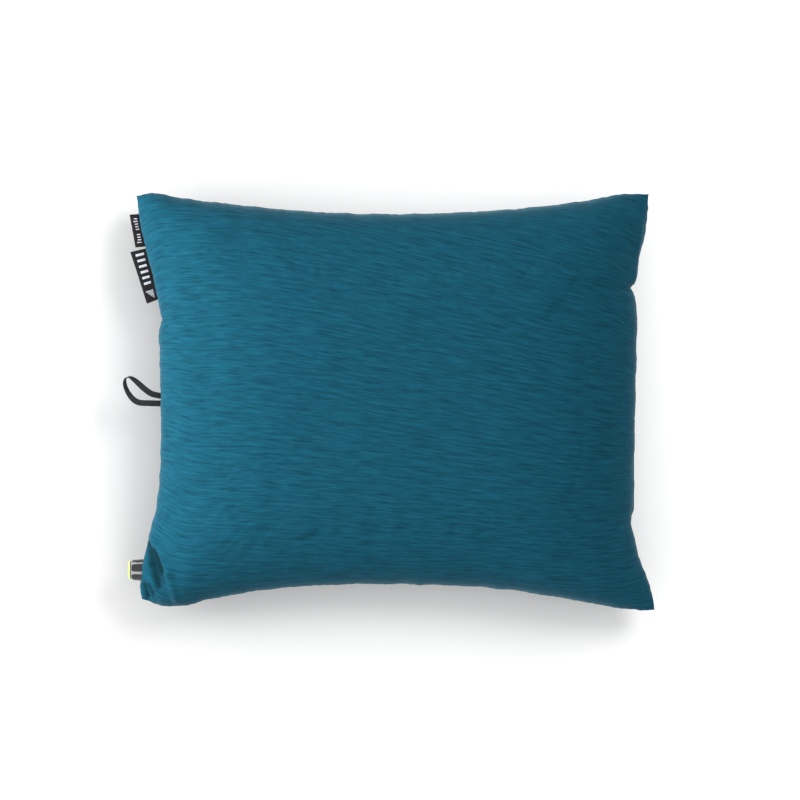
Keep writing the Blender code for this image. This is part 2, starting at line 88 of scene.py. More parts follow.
def add_node(tree, kind, inputs=None, **settings):
    """A node with its settings. Each input is a value, or the output socket that feeds it."""
    node = tree.nodes.new(kind)
    for name, value in settings.items():
        setattr(node, name, value)
    for key, value in (inputs or {}).items():
        if isinstance(value, bpy.types.NodeSocket):
            tree.links.new(value, node.inputs[key])
        else:
            node.inputs[key].default_value = value
    return node


def add_mix(tree, share, start, end):
    """A mix of two colours, each a value or a socket, as an output socket."""
    return add_node(tree, "ShaderNodeMix", {0: share, 6: start, 7: end}, data_type="RGBA").outputs[2]


def new_material(name, **values):
    """A Principled material: its tree, and its shader with these values set on its own sockets."""
    made = bpy.data.materials.new(name)
    made.use_nodes = True
    shader = made.node_tree.nodes["Principled BSDF"]
    for key, value in values.items():
        shader.inputs[key.replace("_", " ")].default_value = value
    return made, made.node_tree, shader


# %% [markdown]
# ## The cover's outline
# An inflated pillow is a flat bag that has been blown up. Its sides pull in between the corners, because
# the cloth that rises over the core has to come from somewhere, while the corners stay flat and stick out
# as ears. The outline could be one formula, but a real bag isn't regular: it is pinched where the zip ends,
# and its valve corner is tucked. So each side is a short list of places, from one corner to the next, with
# a smooth curve through them, and each pinch is a fold laid over that curve.

# %% Where the cover's edge runs
LEFT_SIDE = (  # (Y, X) in mm, from the valve's corner up to the labels' corner
    (-214, -275), (-200, -276.3), (-180, -273), (-147, -266.5), (-110, -257), (-73, -253.6), (0, -252.8),
    (69, -254.6), (106, -255.4), (155, -266.6), (188, -274.6), (224, -281),
)
RIGHT_SIDE = (  # from the corner by the zip's slider up
    (-226, 282), (-205, 278.2), (-179, 267.5), (-150, 260.2), (-100, 257.8), (-20, 259), (69, 261),
    (112, 262), (155, 264), (188, 271.6), (226, 275.6),
)
TOP_SIDE = (  # (X, Y) in mm, from the labels' corner
    (-281, 224), (-266, 226.6), (-232, 220.8), (-167, 212.6), (-102, 206.3), (-10, 202.8), (60, 204.2),
    (140, 209.4), (205, 217.4), (250, 225.4), (275.6, 226),
)
BOTTOM_SIDE = (
    (-275, -214), (-248, -220.8), (-236, -221), (-200, -213), (-135, -202), (-60, -196.9), (27, -196.9),
    (108, -201), (205, -216), (250, -224), (282, -226),
)
ZIP_FOLD = (123, 8.6, 9)  # at this Y, this deep, fading over this length: a crease, so its bottom is sharp
LABEL_FOLD = (90, 3.4, 7)
LOWER_DIP = (-131, 3.8, 13)  # a soft dip


def smooth_curve(points):
    """A function that runs smoothly through points: a cubic whose slope at each comes from its neighbours."""
    at, to = (np.array(c, float) for c in zip(*points))
    slopes = np.gradient(to, at)

    def read(value):
        i = np.clip(np.searchsorted(at, value) - 1, 0, len(at) - 2)
        step = at[i + 1] - at[i]
        t = (value - at[i]) / step
        rest = 1 - t
        ends = rest * rest * (1 + 2 * t) * to[i] + t * t * (3 - 2 * t) * to[i + 1]
        return ends + step * t * rest * (rest * slopes[i] - t * slopes[i + 1])

    return read


left_x, right_x = smooth_curve(LEFT_SIDE), smooth_curve(RIGHT_SIDE)
top_y, bottom_y = smooth_curve(TOP_SIDE), smooth_curve(BOTTOM_SIDE)


def fold(y, crease):
    at, deep, length = crease
    return deep * np.exp(-np.abs(y - at) / length)


def left_edge(y):
    return left_x(y) + fold(y, LABEL_FOLD)


def right_edge(y):
    at, deep, length = LOWER_DIP
    return right_x(y) - fold(y, ZIP_FOLD) - deep * np.exp(-(((y - at) / length) ** 2))


corner_to_corner = (RIGHT_SIDE[-1][1] - LEFT_SIDE[-1][1], TOP_SIDE[0][1] - BOTTOM_SIDE[0][1])
print("Cover, corner to corner, mm:", *corner_to_corner)

# %% [markdown]
# ## The cover as a grid
# The cover could be remeshed from its plain solid, but a remesh loses the seam and the way the cloth runs.
# Here each panel is a grid of places (u, v), each from -1 to 1. A Coons patch spreads the grid between the
# four sides. A place on the plan is held as one complex number, X + iY, so that the patch is one line. Then
# the loft lifts it: a rounded hump that is flat on top and steep at the edges, as a core that is blown up
# tight makes it. The grid lines are spaced evenly over the surface, so the steep sides get as many as the
# top.

# %% Spread the grid and lift it
SEAM_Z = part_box("cover_bottom")[1].z / MM
TOP_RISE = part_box("cover_top")[1].z / MM - SEAM_Z
UNDER_RISE = 62
CORNER_DROOP = 12  # the seam sinks this much at the corners
ROUNDNESS = 5
COLUMNS, ROWS = 256, 208  # cells of about 2.4 mm


def even_spread(count, reach, rise):
    """Values from -1 to 1 that lie evenly along the hump's surface, which runs out to reach."""
    t = np.sin(np.linspace(0, math.pi / 2, 6000))
    height = rise * np.sqrt(1 - t**ROUNDNESS)
    along = np.insert(np.cumsum(np.hypot(np.diff(t) * reach, np.diff(height))), 0, 0)
    half = np.interp(np.linspace(0, along[-1], count // 2 + 1), along, t)
    half[-1] = 1
    return np.concatenate([-half[:0:-1], half])


def coons(u, v):
    """The place on the plan, in mm, of each (u, v)."""
    a, b = (u + 1) / 2, (v + 1) / 2
    low_left, low_right = complex(*BOTTOM_SIDE[0]), complex(*BOTTOM_SIDE[-1])
    high_left, high_right = complex(*TOP_SIDE[0]), complex(*TOP_SIDE[-1])
    xb = low_left.real + a * (low_right - low_left).real
    xt = high_left.real + a * (high_right - high_left).real
    yl = low_left.imag + b * (high_left - low_left).imag
    yr = low_right.imag + b * (high_right - low_right).imag
    bottom, top = xb + 1j * bottom_y(xb), xt + 1j * top_y(xt)
    left, right = left_edge(yl) + 1j * yl, right_edge(yr) + 1j * yr
    low, high = (1 - a) * low_left + a * low_right, (1 - a) * high_left + a * high_right
    return (1 - b) * bottom + b * top + (1 - a) * left + a * right - (1 - b) * low - b * high


U, V = np.meshgrid(even_spread(COLUMNS, 262, TOP_RISE), even_spread(ROWS, 210, TOP_RISE), indexing="ij")
plan = coons(U, V)
corner_share = np.clip(np.abs(plan.real) / 279, 0, 1) * np.clip(np.abs(plan.imag) / 224, 0, 1)
seam_z = SEAM_Z - CORNER_DROOP * corner_share**3
loft = np.sqrt((1 - np.abs(U) ** ROUNDNESS) * (1 - np.abs(V) ** ROUNDNESS))
top = np.stack([plan.real, plan.imag, seam_z + TOP_RISE * loft], -1)
under = np.stack([plan.real, plan.imag, np.maximum(seam_z - UNDER_RISE * loft, 0)], -1)
print("Grid:", COLUMNS, "by", ROWS, "on each panel, highest point", round(top[..., 2].max(), 1), "mm")

# %% [markdown]
# ## Fit the cover to its hardware
# Two places have to match the solid parts. Along the zip the underside follows its plain solid, so that the
# tapes lie flush in their slot. The solid's side is straight there, so one row of rays reads its profile.
# Round the valve the cloth is drawn up tight, which stands it out into a short collar.

# %% Match the zip's wall and draw in the valve's collar
VALVE_AXIS = (-273, -182, 51.97)  # where the valve leaves the cover, in mm
ZIP_ENDS = (-112, 110)
COLLAR = 3.2


def smoothstep(value, start, end):
    t = np.clip((value - start) / (end - start), 0, 1)
    return t * t * (3 - 2 * t)


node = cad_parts["cover_bottom"]
side_wall = BVHTree.FromPolygons([v.co for v in node.data.vertices], [p.vertices for p in node.data.polygons])
wall = []
for z in np.arange(3, 58, 0.5):
    hit = side_wall.ray_cast(Vector((0.35, 0.118, z * MM)), Vector((-1, 0, 0)))[0]
    if hit:
        wall.append((z, hit.x / MM))
wall_heights, wall_reach = zip(*wall)
print("The zip's wall was read from", wall[0], "to", wall[-1])

x, y, z = under[..., 0].copy(), under[..., 1], under[..., 2]
beside_zip = smoothstep(np.abs(y), 127, 114) * smoothstep(z, 5, 14) * smoothstep(z, 57, 53) * (x > 150)
under[..., 0] = x + beside_zip * (np.interp(z, wall_heights, wall_reach) - x)
print("Cover moved up to", round(np.abs(under[..., 0] - x).max(), 1), "mm to meet the zip's wall")
for panel in (top, under):
    across = np.exp(-(((panel[..., 1] - VALVE_AXIS[1]) / 14) ** 2)) * smoothstep(panel[..., 0], -235, -255)
    panel[..., 0] -= COLLAR * across * np.exp(-(((np.abs(panel[..., 2] - VALVE_AXIS[2]) - 12) / 6) ** 2))

# %% [markdown]
# ## How the cloth runs
# The slubs are thick places in the yarn, so they lie along the knit's courses. On this pillow the courses
# lie level at the left and fall away to the right, and they bend in where the cloth turns down at either
# side. A material can only follow that if the mesh says where the cloth lies. So each point gets its place
# on the flat cloth: how far it is along the courses and across them, measured over the surface, with the
# courses' slant added.

# %% Measure each point's place on the cloth
SLANT = 0.36  # the courses' slope far from the left side
SLANT_LENGTH = 190  # how soon they reach it
BEND_LEFT, BEND_RIGHT, BEND_LENGTH = 0.13, 0.08, 22


def along_grid(places, axis):
    """How far each point lies along its grid line from the line's start, over the surface."""
    steps = np.linalg.norm(np.diff(places, axis=axis), axis=-1)
    return np.insert(np.cumsum(steps, axis=axis), 0, 0, axis=axis)


def from_middle(places, axis):
    total = along_grid(places, axis)
    return total - np.take(total, [total.shape[axis] // 2], axis=axis)


def cloth_places(places):
    x, y = places[..., 0], places[..., 1]
    from_left = x - left_edge(y)
    slanted = SLANT * (from_left + SLANT_LENGTH * (np.exp(-from_left / SLANT_LENGTH) - 1))
    bend = BEND_LEFT * np.exp(-from_left / BEND_LENGTH)
    bend = bend + BEND_RIGHT * np.exp((x - right_edge(y)) / BEND_LENGTH)
    across = from_middle(places, 1) * (1 + bend) + slanted * np.clip(0.6 + 0.6 * y / 224, 0, None)
    return np.stack([from_middle(places, 0), across], -1)


cloth = {"top": cloth_places(top), "under": cloth_places(under)}
print("Cloth across the middle of the top, mm:", round(np.ptp(cloth["top"][:, ROWS // 2, 0]), 1))

# %% [markdown]
# ## Two panels, one bag
# The panels share the ring of points at the seam. The same function joins the fine grid and the coarse one
# that the simulation runs on, and it can turn the bag inside out, for the cloth's inner face.


# %% Join panels at the seam
def quads(grid):
    """The four corners of each cell of a grid, anticlockwise."""
    return np.stack([grid[:-1, :-1], grid[1:, :-1], grid[1:, 1:], grid[:-1, 1:]], 2)


def rim(grid):
    """True for the points of a grid that lie on the seam."""
    found = np.ones(grid.shape[:2], bool)
    found[1:-1, 1:-1] = False
    return found


def bag(top, under, inside_out=False):
    """Points in mm, and faces, of both panels joined."""
    edge = rim(top)
    numbers = np.arange(edge.size).reshape(edge.shape)
    lower = numbers.copy()
    lower[~edge] = edge.size + np.arange((~edge).sum())
    turn = -1 if inside_out else 1
    faces = [quads(numbers)[..., ::turn].reshape(-1, 4), quads(lower)[..., ::-turn].reshape(-1, 4)]
    return np.concatenate([top.reshape(-1, 3), under[~edge]]), np.concatenate(faces)


def make_object(name, points, faces, *materials):
    """An object from points in mm and faces, smooth, in the scene."""
    mesh = bpy.data.meshes.new(name)
    mesh.from_pydata((np.asarray(points) * MM).tolist(), [], [list(face) for face in faces])
    mesh.shade_smooth()
    for material in materials:
        mesh.materials.append(material)
    obj = bpy.data.objects.new(name, mesh)
    bpy.context.scene.collection.objects.link(obj)
    return obj


# %% [markdown]
# ## Blow it up
# Cloth doesn't follow a formula. Where a flat panel is forced over a round core it has too much edge, and
# the edge gathers into small puckers. Cloth simulation finds them: the cover is a little larger than the
# core, the air pushes it out, and the seam, the zip and the valve's corner hold it. How far each point may
# move levels off at a cap, because the core is a fixed size. It runs on every second grid line, and a
# smooth curve through its moves fills in the rest.

# %% Simulate the cover
FRAMES = 20
PRESSURE = 4
EASE = 0.015  # how much larger the cloth is cut
CAP_OUT, CAP_IN = 4, 2  # mm


def held(places):
    """How firmly each point is held, from 0 to 1: at the seam, and round the zip and the valve."""
    x, y, z = places[..., 0], places[..., 1], places[..., 2]
    zip_share = np.clip((x - 215) / 20, 0, 1) * np.clip((135 - np.abs(y)) / 15, 0, 1) * (z < SEAM_Z)
    valve_share = np.clip(1.6 - np.hypot(x - VALVE_AXIS[0], y - VALVE_AXIS[1]) / 28, 0, 1)
    return np.maximum(np.maximum(zip_share, valve_share), rim(places))


def simulate(obj, weights):
    group = obj.vertex_groups.new(name="held")
    for level in range(1, 11):
        members = np.flatnonzero(np.round(weights * 10) == level)
        group.add(members.tolist(), level / 10, "REPLACE")
    air = obj.modifiers.new("Air", "CLOTH")
    settings = air.settings
    settings.quality = 5
    settings.mass = 0.15
    settings.tension_stiffness = settings.compression_stiffness = 15
    settings.shear_stiffness = 5
    settings.bending_stiffness = 0.05
    settings.shrink_min = -EASE
    settings.use_pressure = True
    settings.uniform_pressure_force = PRESSURE
    settings.vertex_group_mass = "held"
    settings.effector_weights.gravity = 0
    air.collision_settings.use_collision = False
    air.point_cache.frame_start, air.point_cache.frame_end = 1, FRAMES
    for number in range(1, FRAMES + 1):
        bpy.context.scene.frame_set(number)
    result = obj.evaluated_get(bpy.context.evaluated_depsgraph_get()).to_mesh()
    places = np.empty(len(result.vertices) * 3, np.float32)
    result.vertices.foreach_get("co", places)
    bpy.context.scene.frame_set(1)
    return places.reshape(-1, 3).astype(float) / MM


def refine(grid, axis):
    """Twice as many points along an axis, the new ones on a cubic through their neighbours."""
    grid = np.moveaxis(grid, axis, 0)
    padded = np.concatenate([2 * grid[:1] - grid[1:2], grid, 2 * grid[-1:] - grid[-2:-1]])
    middles = (9 * (padded[1:-2] + padded[2:-1]) - padded[:-3] - padded[3:]) / 16
    fine = np.empty((2 * len(grid) - 1, *grid.shape[1:]))
    fine[::2], fine[1::2] = grid, middles
    return np.moveaxis(fine, 0, axis)


coarse_top, coarse_under = top[::2, ::2], under[::2, ::2]
points, faces = bag(coarse_top, coarse_under)
edge = rim(coarse_top)
tester = make_object("cover_at_rest", points, faces)
moved = simulate(tester, np.concatenate([held(coarse_top).ravel(), held(coarse_under)[~edge]])) - points
bpy.data.objects.remove(tester)
size = np.linalg.norm(moved, axis=1, keepdims=True)
outward = (moved * (points - (0, 0, 55))).sum(1, keepdims=True) > 0
print("Simulated: the cloth moved up to", round(size.max(), 1), "mm, mean", round(size.mean(), 2))
moved *= np.where(outward, CAP_OUT, CAP_IN) * np.tanh(size / 14) / np.maximum(size, 1e-9)
lower = np.zeros_like(coarse_under)
lower[~edge] = moved[edge.size :]
room = smoothstep(top[..., 2] - under[..., 2], 3, 20)[..., None]  # the flat corners keep still
top += room * refine(refine(moved[: edge.size].reshape(coarse_top.shape), 0), 1)
under += room * refine(refine(lower, 0), 1)
under[..., 2] = np.maximum(under[..., 2], 0)

# %% [markdown]
# ## Folds, seam and puckers
# What is finer than the simulation's cells is modelled straight onto the grid, by moving points along the
# surface's normal. The valve's corner is tucked, and the tuck throws sharp creases across it. The seam's
# stitches pull the edge in, the turned cloth behind them stands up beside it, and between stitches the
# cloth gathers a little.

# %% Model the fine relief
CREASES = (  # from (X, Y), to (X, Y), height and half-width in mm
    ((-266, -152), (-262, -176), -3.4, 2.8),
    ((-261, -176), (-254, -199), -3.4, 3.0),
    ((-258.5, -158), (-250, -181), -2.8, 3.8),
    ((-271.5, -197), (-267.3, -211), -2.8, 2.6),
    ((-265.4, -198), (-260.5, -208), -2.4, 2.4),
    ((-260, -147), (-242, -182), 2.2, 4.2),
    ((-242, -182), (-235.5, -211), 2.4, 3.8),
    ((-257, -164), (-251, -190), -1.3, 7.5),
    ((265, 192), (257, 130), 1.3, 3.0),
    ((262, -196), (268, -222), 0.9, 2.6),
)
SEAM_DEPTH = 1.0
PUCKERS = 0.3
GATHERS = 0.5
FULL_SHADE_DEPTH = 2.8  # a fold as deep as this, or deeper, gets the fullest painted shade
FLATTEST = 0.25  # of the thickness: no fold is deeper, so the panels don't meet in the corners


def normals(places, turn):
    """Unit normals of a grid of points."""
    made = np.cross(np.gradient(places, axis=0), np.gradient(places, axis=1)) * turn
    return made / np.maximum(np.linalg.norm(made, axis=-1, keepdims=True), 1e-9)


def near_line(places, start, end):
    """How far each point is from a line on the plan."""
    start, end = np.array(start, float), np.array(end, float)
    run = end - start
    t = np.clip(((places[..., :2] - start) @ run) / (run @ run), 0, 1)
    return np.linalg.norm(places[..., :2] - start - t[..., None] * run, axis=-1)


def ripple(at, shortest, longest, seed):
    """A wandering wave from -1 to 1, from waves between two lengths in mm."""
    chance = random.Random(seed)
    total = np.zeros_like(at)
    for _ in range(6):
        total += np.sin(math.tau * at / chance.uniform(shortest, longest) + chance.uniform(0, math.tau))
    return total / 3


def edge_relief(places, seed):
    """How far the seam, its puckers and its gathers move each point along its normal."""
    spans = []
    for axis in (0, 1):
        along = along_grid(places, axis)
        spans += [along, np.take(along, [-1], axis=axis) - along]
    nearest = np.minimum.reduce(spans)
    relief = 0.4 * np.exp(-(((nearest - 3.6) / 1.9) ** 2)) - SEAM_DEPTH * np.exp(-((nearest / 1.4) ** 2))
    for axis in (0, 1):
        at = places[..., 1 - axis]
        for far, side in zip(spans[2 * axis : 2 * axis + 2], (0, 1)):
            relief += PUCKERS * ripple(at, 7, 15, seed + side + 2 * axis) * np.exp(-far / 11)
            relief += GATHERS * ripple(at, 24, 60, 9 + side + 2 * axis) * np.exp(-far / 30) * (far > 0)
    return relief


top_normals, under_normals = normals(top, 1), normals(under, -1)
edge = rim(top)
straight_out = np.sign(top[edge]) * (1, 1, 0)  # for the corners, where the two panels' normals cancel out
seam_normals = top_normals[edge] + under_normals[edge] + 0.05 * straight_out
seam_normals /= np.linalg.norm(seam_normals, axis=-1, keepdims=True)
top_normals[edge] = under_normals[edge] = seam_normals
creased = sum(high * np.exp(-((near_line(top, a, b) / wide) ** 2)) for a, b, high, wide in CREASES)
creased[edge] = 0
painted_fold_shade = np.clip(-creased / FULL_SHADE_DEPTH, 0, 1)  # how deep in a fold the cloth is, for the shade painted into its colour
top_relief, under_relief = edge_relief(top, 1) + creased, edge_relief(under, 5)
under_relief[edge] = top_relief[edge]
under_relief *= smoothstep(under[..., 2], 0, 10) * (1 - beside_zip)
room = np.where(edge, SEAM_DEPTH * 2, FLATTEST * (top[..., 2] - under[..., 2]))
top_relief, under_relief = np.maximum(top_relief, -room), np.maximum(under_relief, -room)
top += top_relief[..., None] * top_normals
under += under_relief[..., None] * under_normals
under[edge] = top[edge]
under[..., 2] = np.maximum(under[..., 2], 0)
print("Relief on the top, mm:", round(top_relief.min(), 2), "to", round(top_relief.max(), 2))

# %% [markdown]
# ## A cover is cloth, so it has two faces
# The cover is a shell 1.2 mm thick with a hole at the valve and a slot for the zip. Its inner face is every
# second grid line, set in along the normals, drawn in a little from the seam and turned inside out. A
# Boolean with a round cutter opens the port, and one with a long box opens the slot, so both rims get their
# own walls.

# %% Give the cloth its thickness and open it
COVER_THICK = 1.2
PORT_RADIUS = 12.9
PORT_SIDES = 64
PORT_REACH = (-305, -255)  # how far the port's cutter reaches along X
ZIP_MIDDLE = np.array((254.961, 0, 42.0))
ZIP_ACROSS, ZIP_OUT = np.array((0.41398, 0, 0.91029)), np.array((0.91029, 0, -0.41398))
SLOT_HALF = 4.9
SLOT_REACH = (-9, 7)  # how far the slot's cutter reaches in and out


def on_zip(along, across, out):
    """A place in the zip's own directions, in mm."""
    return ZIP_MIDDLE + np.array((0, along, 0)) + across * ZIP_ACROSS + out * ZIP_OUT


def read_inside(grid, share=0.985):
    """A grid's values on every second line, drawn in to this share of the way out to the seam."""
    for axis, line in ((0, U[:, 0]), (1, V[0])):
        at = np.interp(share * line[::2], line, np.arange(len(line)))
        low = np.minimum(at.astype(int), len(line) - 2)
        t = np.expand_dims(at - low, tuple(i for i in range(grid.ndim) if i != axis))
        grid = np.take(grid, low, axis=axis) * (1 - t) + np.take(grid, low + 1, axis=axis) * t
    return grid


outer_points, outer_faces = bag(top, under)
inner = []
for panel, directions in ((top, top_normals), (under, under_normals)):
    creased_far = np.hypot(panel[..., 0] + 262, panel[..., 1] + 182) / 40
    pinched_far = np.hypot(panel[..., 0] - 252, panel[..., 1] - ZIP_FOLD[0]) / 16
    depth = COVER_THICK + 1.2 * np.exp(-(creased_far**2)) + 1.8 * np.exp(-(pinched_far**2))
    inner.append(read_inside(panel - depth[..., None] * directions))
inner_edge = rim(inner[0])
inner[0][inner_edge] = inner[1][inner_edge] = (inner[0][inner_edge] + inner[1][inner_edge]) / 2
inner[1][..., 2] = np.maximum(inner[1][..., 2], COVER_THICK)
inner_points, inner_faces = bag(*inner, inside_out=True)
faces = np.concatenate([outer_faces, inner_faces + len(outer_points)])
cover = make_object("cover", np.concatenate([outer_points, inner_points]), faces)

places = []
for turn, upper, lower in ((1, *cloth.values()), (-1, *map(read_inside, cloth.values()))):
    places += [quads(upper)[:, :, ::turn].reshape(-1, 2), quads(lower)[:, :, ::-turn].reshape(-1, 2)]
layer = cover.data.uv_layers.new(name="cloth")
layer.data.foreach_set("uv", (np.concatenate(places) * MM).astype(np.float32).ravel())
# Each point's fold depth is stored as the fold attribute, from which the jersey paints shade into the folds
shade = np.zeros(len(cover.data.vertices), np.float32)
shade[: painted_fold_shade.size] = painted_fold_shade.ravel()
cover.data.attributes.new("fold", "FLOAT", "POINT").data.foreach_set("value", shade)

n = PORT_SIDES
circle = [PORT_RADIUS * np.array((math.cos(math.tau * i / n), math.sin(math.tau * i / n))) for i in range(n)]
port_points = [(x, VALVE_AXIS[1] + c, VALVE_AXIS[2] + s) for x in PORT_REACH for c, s in circle]
port_faces = [tuple(range(n)), tuple(range(2 * n - 1, n - 1, -1))]
port_faces += [(i, i + n, (i + 1) % n + n, (i + 1) % n) for i in range(n)]
slot_points = [on_zip(a, c, o) for a in ZIP_ENDS for c in (-SLOT_HALF, SLOT_HALF) for o in SLOT_REACH]
slot_faces = [(0, 1, 3, 2), (4, 6, 7, 5), (0, 4, 5, 1), (2, 3, 7, 6), (0, 2, 6, 4), (1, 5, 7, 3)]
for name, points, faces in (("port", port_points, port_faces), ("slot", slot_points, slot_faces)):
    cutter = make_object(name, points, faces)
    turned_out = bmesh.new()
    turned_out.from_mesh(cutter.data)
    bmesh.ops.recalc_face_normals(turned_out, faces=turned_out.faces)
    turned_out.to_mesh(cutter.data)
    opening = cover.modifiers.new(name, "BOOLEAN")
    opening.operation, opening.solver, opening.object = "DIFFERENCE", "MANIFOLD", cutter
    cut_mesh = bpy.data.meshes.new_from_object(cover.evaluated_get(bpy.context.evaluated_depsgraph_get()))
    cover.modifiers.clear()
    cover.data = cut_mesh
    bpy.data.objects.remove(cutter)
cover.data.materials.clear()
cover.data.set_sharp_from_angle(angle=math.radians(55))
cover.data.name = "cover"
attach(cover, "root")
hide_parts("cover_top", "cover_bottom")
print("Cover:", len(cover.data.polygons), "faces")

# %% [markdown]
# ## Teal slub jersey
# The cover is a polyester jersey knitted from slub yarn: a yarn whose thickness wanders, so that its thick
# places make short streaks. Seen close it is soft and matt, with a fuzz that catches light at the edges,
# which the sheen layer gives.

# %% Make the jersey
def streaks(tree, places, length, width, offset, detail=2.0):
    """Noise drawn out along the courses: streaks about length by width, in metres of cloth."""
    spot = add_node(tree, "ShaderNodeMapping", {0: places, "Location": (offset, offset, 0),
                                               "Scale": (1 / length, 1 / width, 1)})
    return add_node(tree, "ShaderNodeTexNoise", {"Vector": spot.outputs[0], "Scale": 1.0, "Detail": detail,
                                                "Roughness": 0.55}).outputs["Fac"]


def slub_jersey():
    made, tree, shader = new_material("slub_jersey", Roughness=0.9, Sheen_Roughness=0.3,
                                      Sheen_Tint=linear("#bfe3ea"), Specular_IOR_Level=0.05)
    places = add_node(tree, "ShaderNodeUVMap", uv_map="cloth").outputs[0]
    fine = streaks(tree, places, 0.018, 0.0013, 0)
    broad = streaks(tree, places, 0.040, 0.0032, 7, 3.0)
    hue = streaks(tree, places, 0.060, 0.0065, 13, 1.0)
    both = add_node(tree, "ShaderNodeMath", {0: fine, 1: broad}, operation="ADD").outputs[0]
    mean = add_node(tree, "ShaderNodeMath", {0: both, 1: 0.5}, operation="MULTIPLY").outputs[0]
    ramp = add_node(tree, "ShaderNodeValToRGB", {"Fac": mean})
    thin, thick = ramp.color_ramp.elements
    thin.position, thin.color = 0.36, linear("#052732")
    thick.position, thick.color = 0.64, linear("#114a5c")
    tint = add_mix(tree, hue, linear("#093d49"), linear("#0a384f"))
    colour = add_mix(tree, 0.35, ramp.outputs[0], tint)
    # Painted shade: the deeper a fold, the more the colour is mixed towards a dark teal and the less sheen it
    # has, standing in for the shade that falls in the fold
    fold = add_node(tree, "ShaderNodeAttribute", attribute_name="fold").outputs["Fac"]
    painted_shade_share = add_node(tree, "ShaderNodeMath", {0: fold, 1: 0.75}, operation="MULTIPLY").outputs[0]
    deep = add_mix(tree, painted_shade_share, colour, linear("#021418"))
    tree.links.new(deep, shader.inputs["Base Color"])
    fuzz = add_node(tree, "ShaderNodeMath", {0: fold, 1: -0.2, 2: 0.2}, operation="MULTIPLY_ADD").outputs[0]
    tree.links.new(fuzz, shader.inputs["Sheen Weight"])
    bump = add_node(tree, "ShaderNodeBump", {"Height": both, "Strength": 0.15, "Distance": 0.0006})
    tree.links.new(bump.outputs[0], shader.inputs["Normal"])
    return made


jersey = slub_jersey()
cover.data.materials.append(jersey)

# %% [markdown]
# ## What repeats
# Stitches, woven bars and the zip's filament are one shape many times over, so Geometry Nodes set them out.
# One tree takes any line and puts a stitch or a bar at every step along it. Another winds the filament.
# Each tree's sizes are named inputs, and its result is turned into a plain mesh at once, because instances
# don't survive an export.


# %% Trees for rows and coils
def geometry_tree(name, **inputs):
    """A new tree with a Line and these inputs: the tree, its input sockets and its output node."""
    tree = bpy.data.node_groups.new(name, "GeometryNodeTree")
    tree.interface.new_socket(name="Geometry", in_out="OUTPUT", socket_type="NodeSocketGeometry")
    tree.interface.new_socket(name="Line", in_out="INPUT", socket_type="NodeSocketGeometry")
    for label, kind in inputs.items():
        tree.interface.new_socket(name=label, in_out="INPUT", socket_type="NodeSocket" + kind)
    return tree, tree.nodes.new("NodeGroupInput").outputs, tree.nodes.new("NodeGroupOutput")


def end_tree(tree, geometry, finish, result):
    """Realise what was made and give it its material."""
    real = add_node(tree, "GeometryNodeRealizeInstances", {"Geometry": geometry})
    painted = add_node(tree, "GeometryNodeSetMaterial", {"Geometry": real.outputs[0], "Material": finish})
    tree.links.new(painted.outputs[0], result.inputs[0])
    return tree


def row_tree(name, shape, **shape_inputs):
    """Copies of a shape that is 1 across, one at each Pitch along the line, turned to follow it."""
    tree, given, result = geometry_tree(name, Pitch="Float", Long="Float", Wide="Float", Thick="Float",
                                        Finish="Material")
    line = add_node(tree, "GeometryNodeMeshToCurve", {"Mesh": given["Line"]})
    places = add_node(tree, "GeometryNodeResampleCurve", {"Curve": line.outputs[0], "Length": given["Pitch"]},
                      mode="LENGTH")
    heading = add_node(tree, "GeometryNodeInputTangent")
    aim = add_node(tree, "FunctionNodeAlignRotationToVector", {"Vector": heading.outputs[0]}, axis="X",
                   pivot_axis="Z")
    size = add_node(tree, "ShaderNodeCombineXYZ", {0: given["Long"], 1: given["Wide"], 2: given["Thick"]})
    unit = add_node(tree, shape, shape_inputs)
    copies = add_node(tree, "GeometryNodeInstanceOnPoints", {
        "Points": places.outputs[0], "Instance": unit.outputs[0], "Rotation": aim.outputs[0],
        "Scale": size.outputs[0]})
    return end_tree(tree, copies.outputs[0], given["Finish"], result)


def coil_tree():
    """One filament wound into a flattened spring that stands on the origin and runs along Z."""
    tree, given, result = geometry_tree("coil", Turns="Float", Long="Float", Wide="Float", Thick="Float",
                                        Filament="Float", Finish="Material")
    spring = add_node(tree, "GeometryNodeCurveSpiral", {
        "Resolution": 12, "Rotations": given["Turns"], "Height": given["Long"], "Start Radius": 0.5,
        "End Radius": 0.5})
    size = add_node(tree, "ShaderNodeCombineXYZ", {0: given["Wide"], 1: given["Thick"], 2: 1.0})
    flat = add_node(tree, "GeometryNodeTransform", {"Geometry": spring.outputs[0], "Scale": size.outputs[0]})
    ring = add_node(tree, "GeometryNodeCurvePrimitiveCircle", {"Resolution": 6, "Radius": given["Filament"]})
    wound = add_node(tree, "GeometryNodeCurveToMesh", {
        "Curve": flat.outputs[0], "Profile Curve": ring.outputs[0], "Fill Caps": True})
    return end_tree(tree, wound.outputs[0], given["Finish"], result)


def grow(name, tree, lines, **inputs):
    """What a tree makes of these lines, which are in mm, as an object with a plain mesh."""
    points, edges = [], []
    for line in lines:
        edges += [(len(points) + i, len(points) + i + 1) for i in range(len(line) - 1)]
        points += [tuple(np.asarray(place) * MM) for place in line]
    mesh = bpy.data.meshes.new(name)
    mesh.from_pydata(points, edges, [])
    obj = bpy.data.objects.new(name, mesh)
    bpy.context.scene.collection.objects.link(obj)
    maker = obj.modifiers.new(name, "NODES")
    maker.node_group = tree
    for item in tree.interface.items_tree:
        if item.name in inputs:
            maker[item.identifier] = inputs[item.name]
    plain = bpy.data.meshes.new_from_object(obj.evaluated_get(bpy.context.evaluated_depsgraph_get()))
    obj.modifiers.clear()
    obj.data = plain
    plain.shade_smooth()
    print(name, "has", len(plain.polygons), "faces")
    return obj


STITCH_ROW = row_tree("stitch_row", "GeometryNodeMeshUVSphere", Segments=6, Rings=4, Radius=0.5)
BAR_ROW = row_tree("bar_row", "GeometryNodeMeshCube")
COIL = coil_tree()

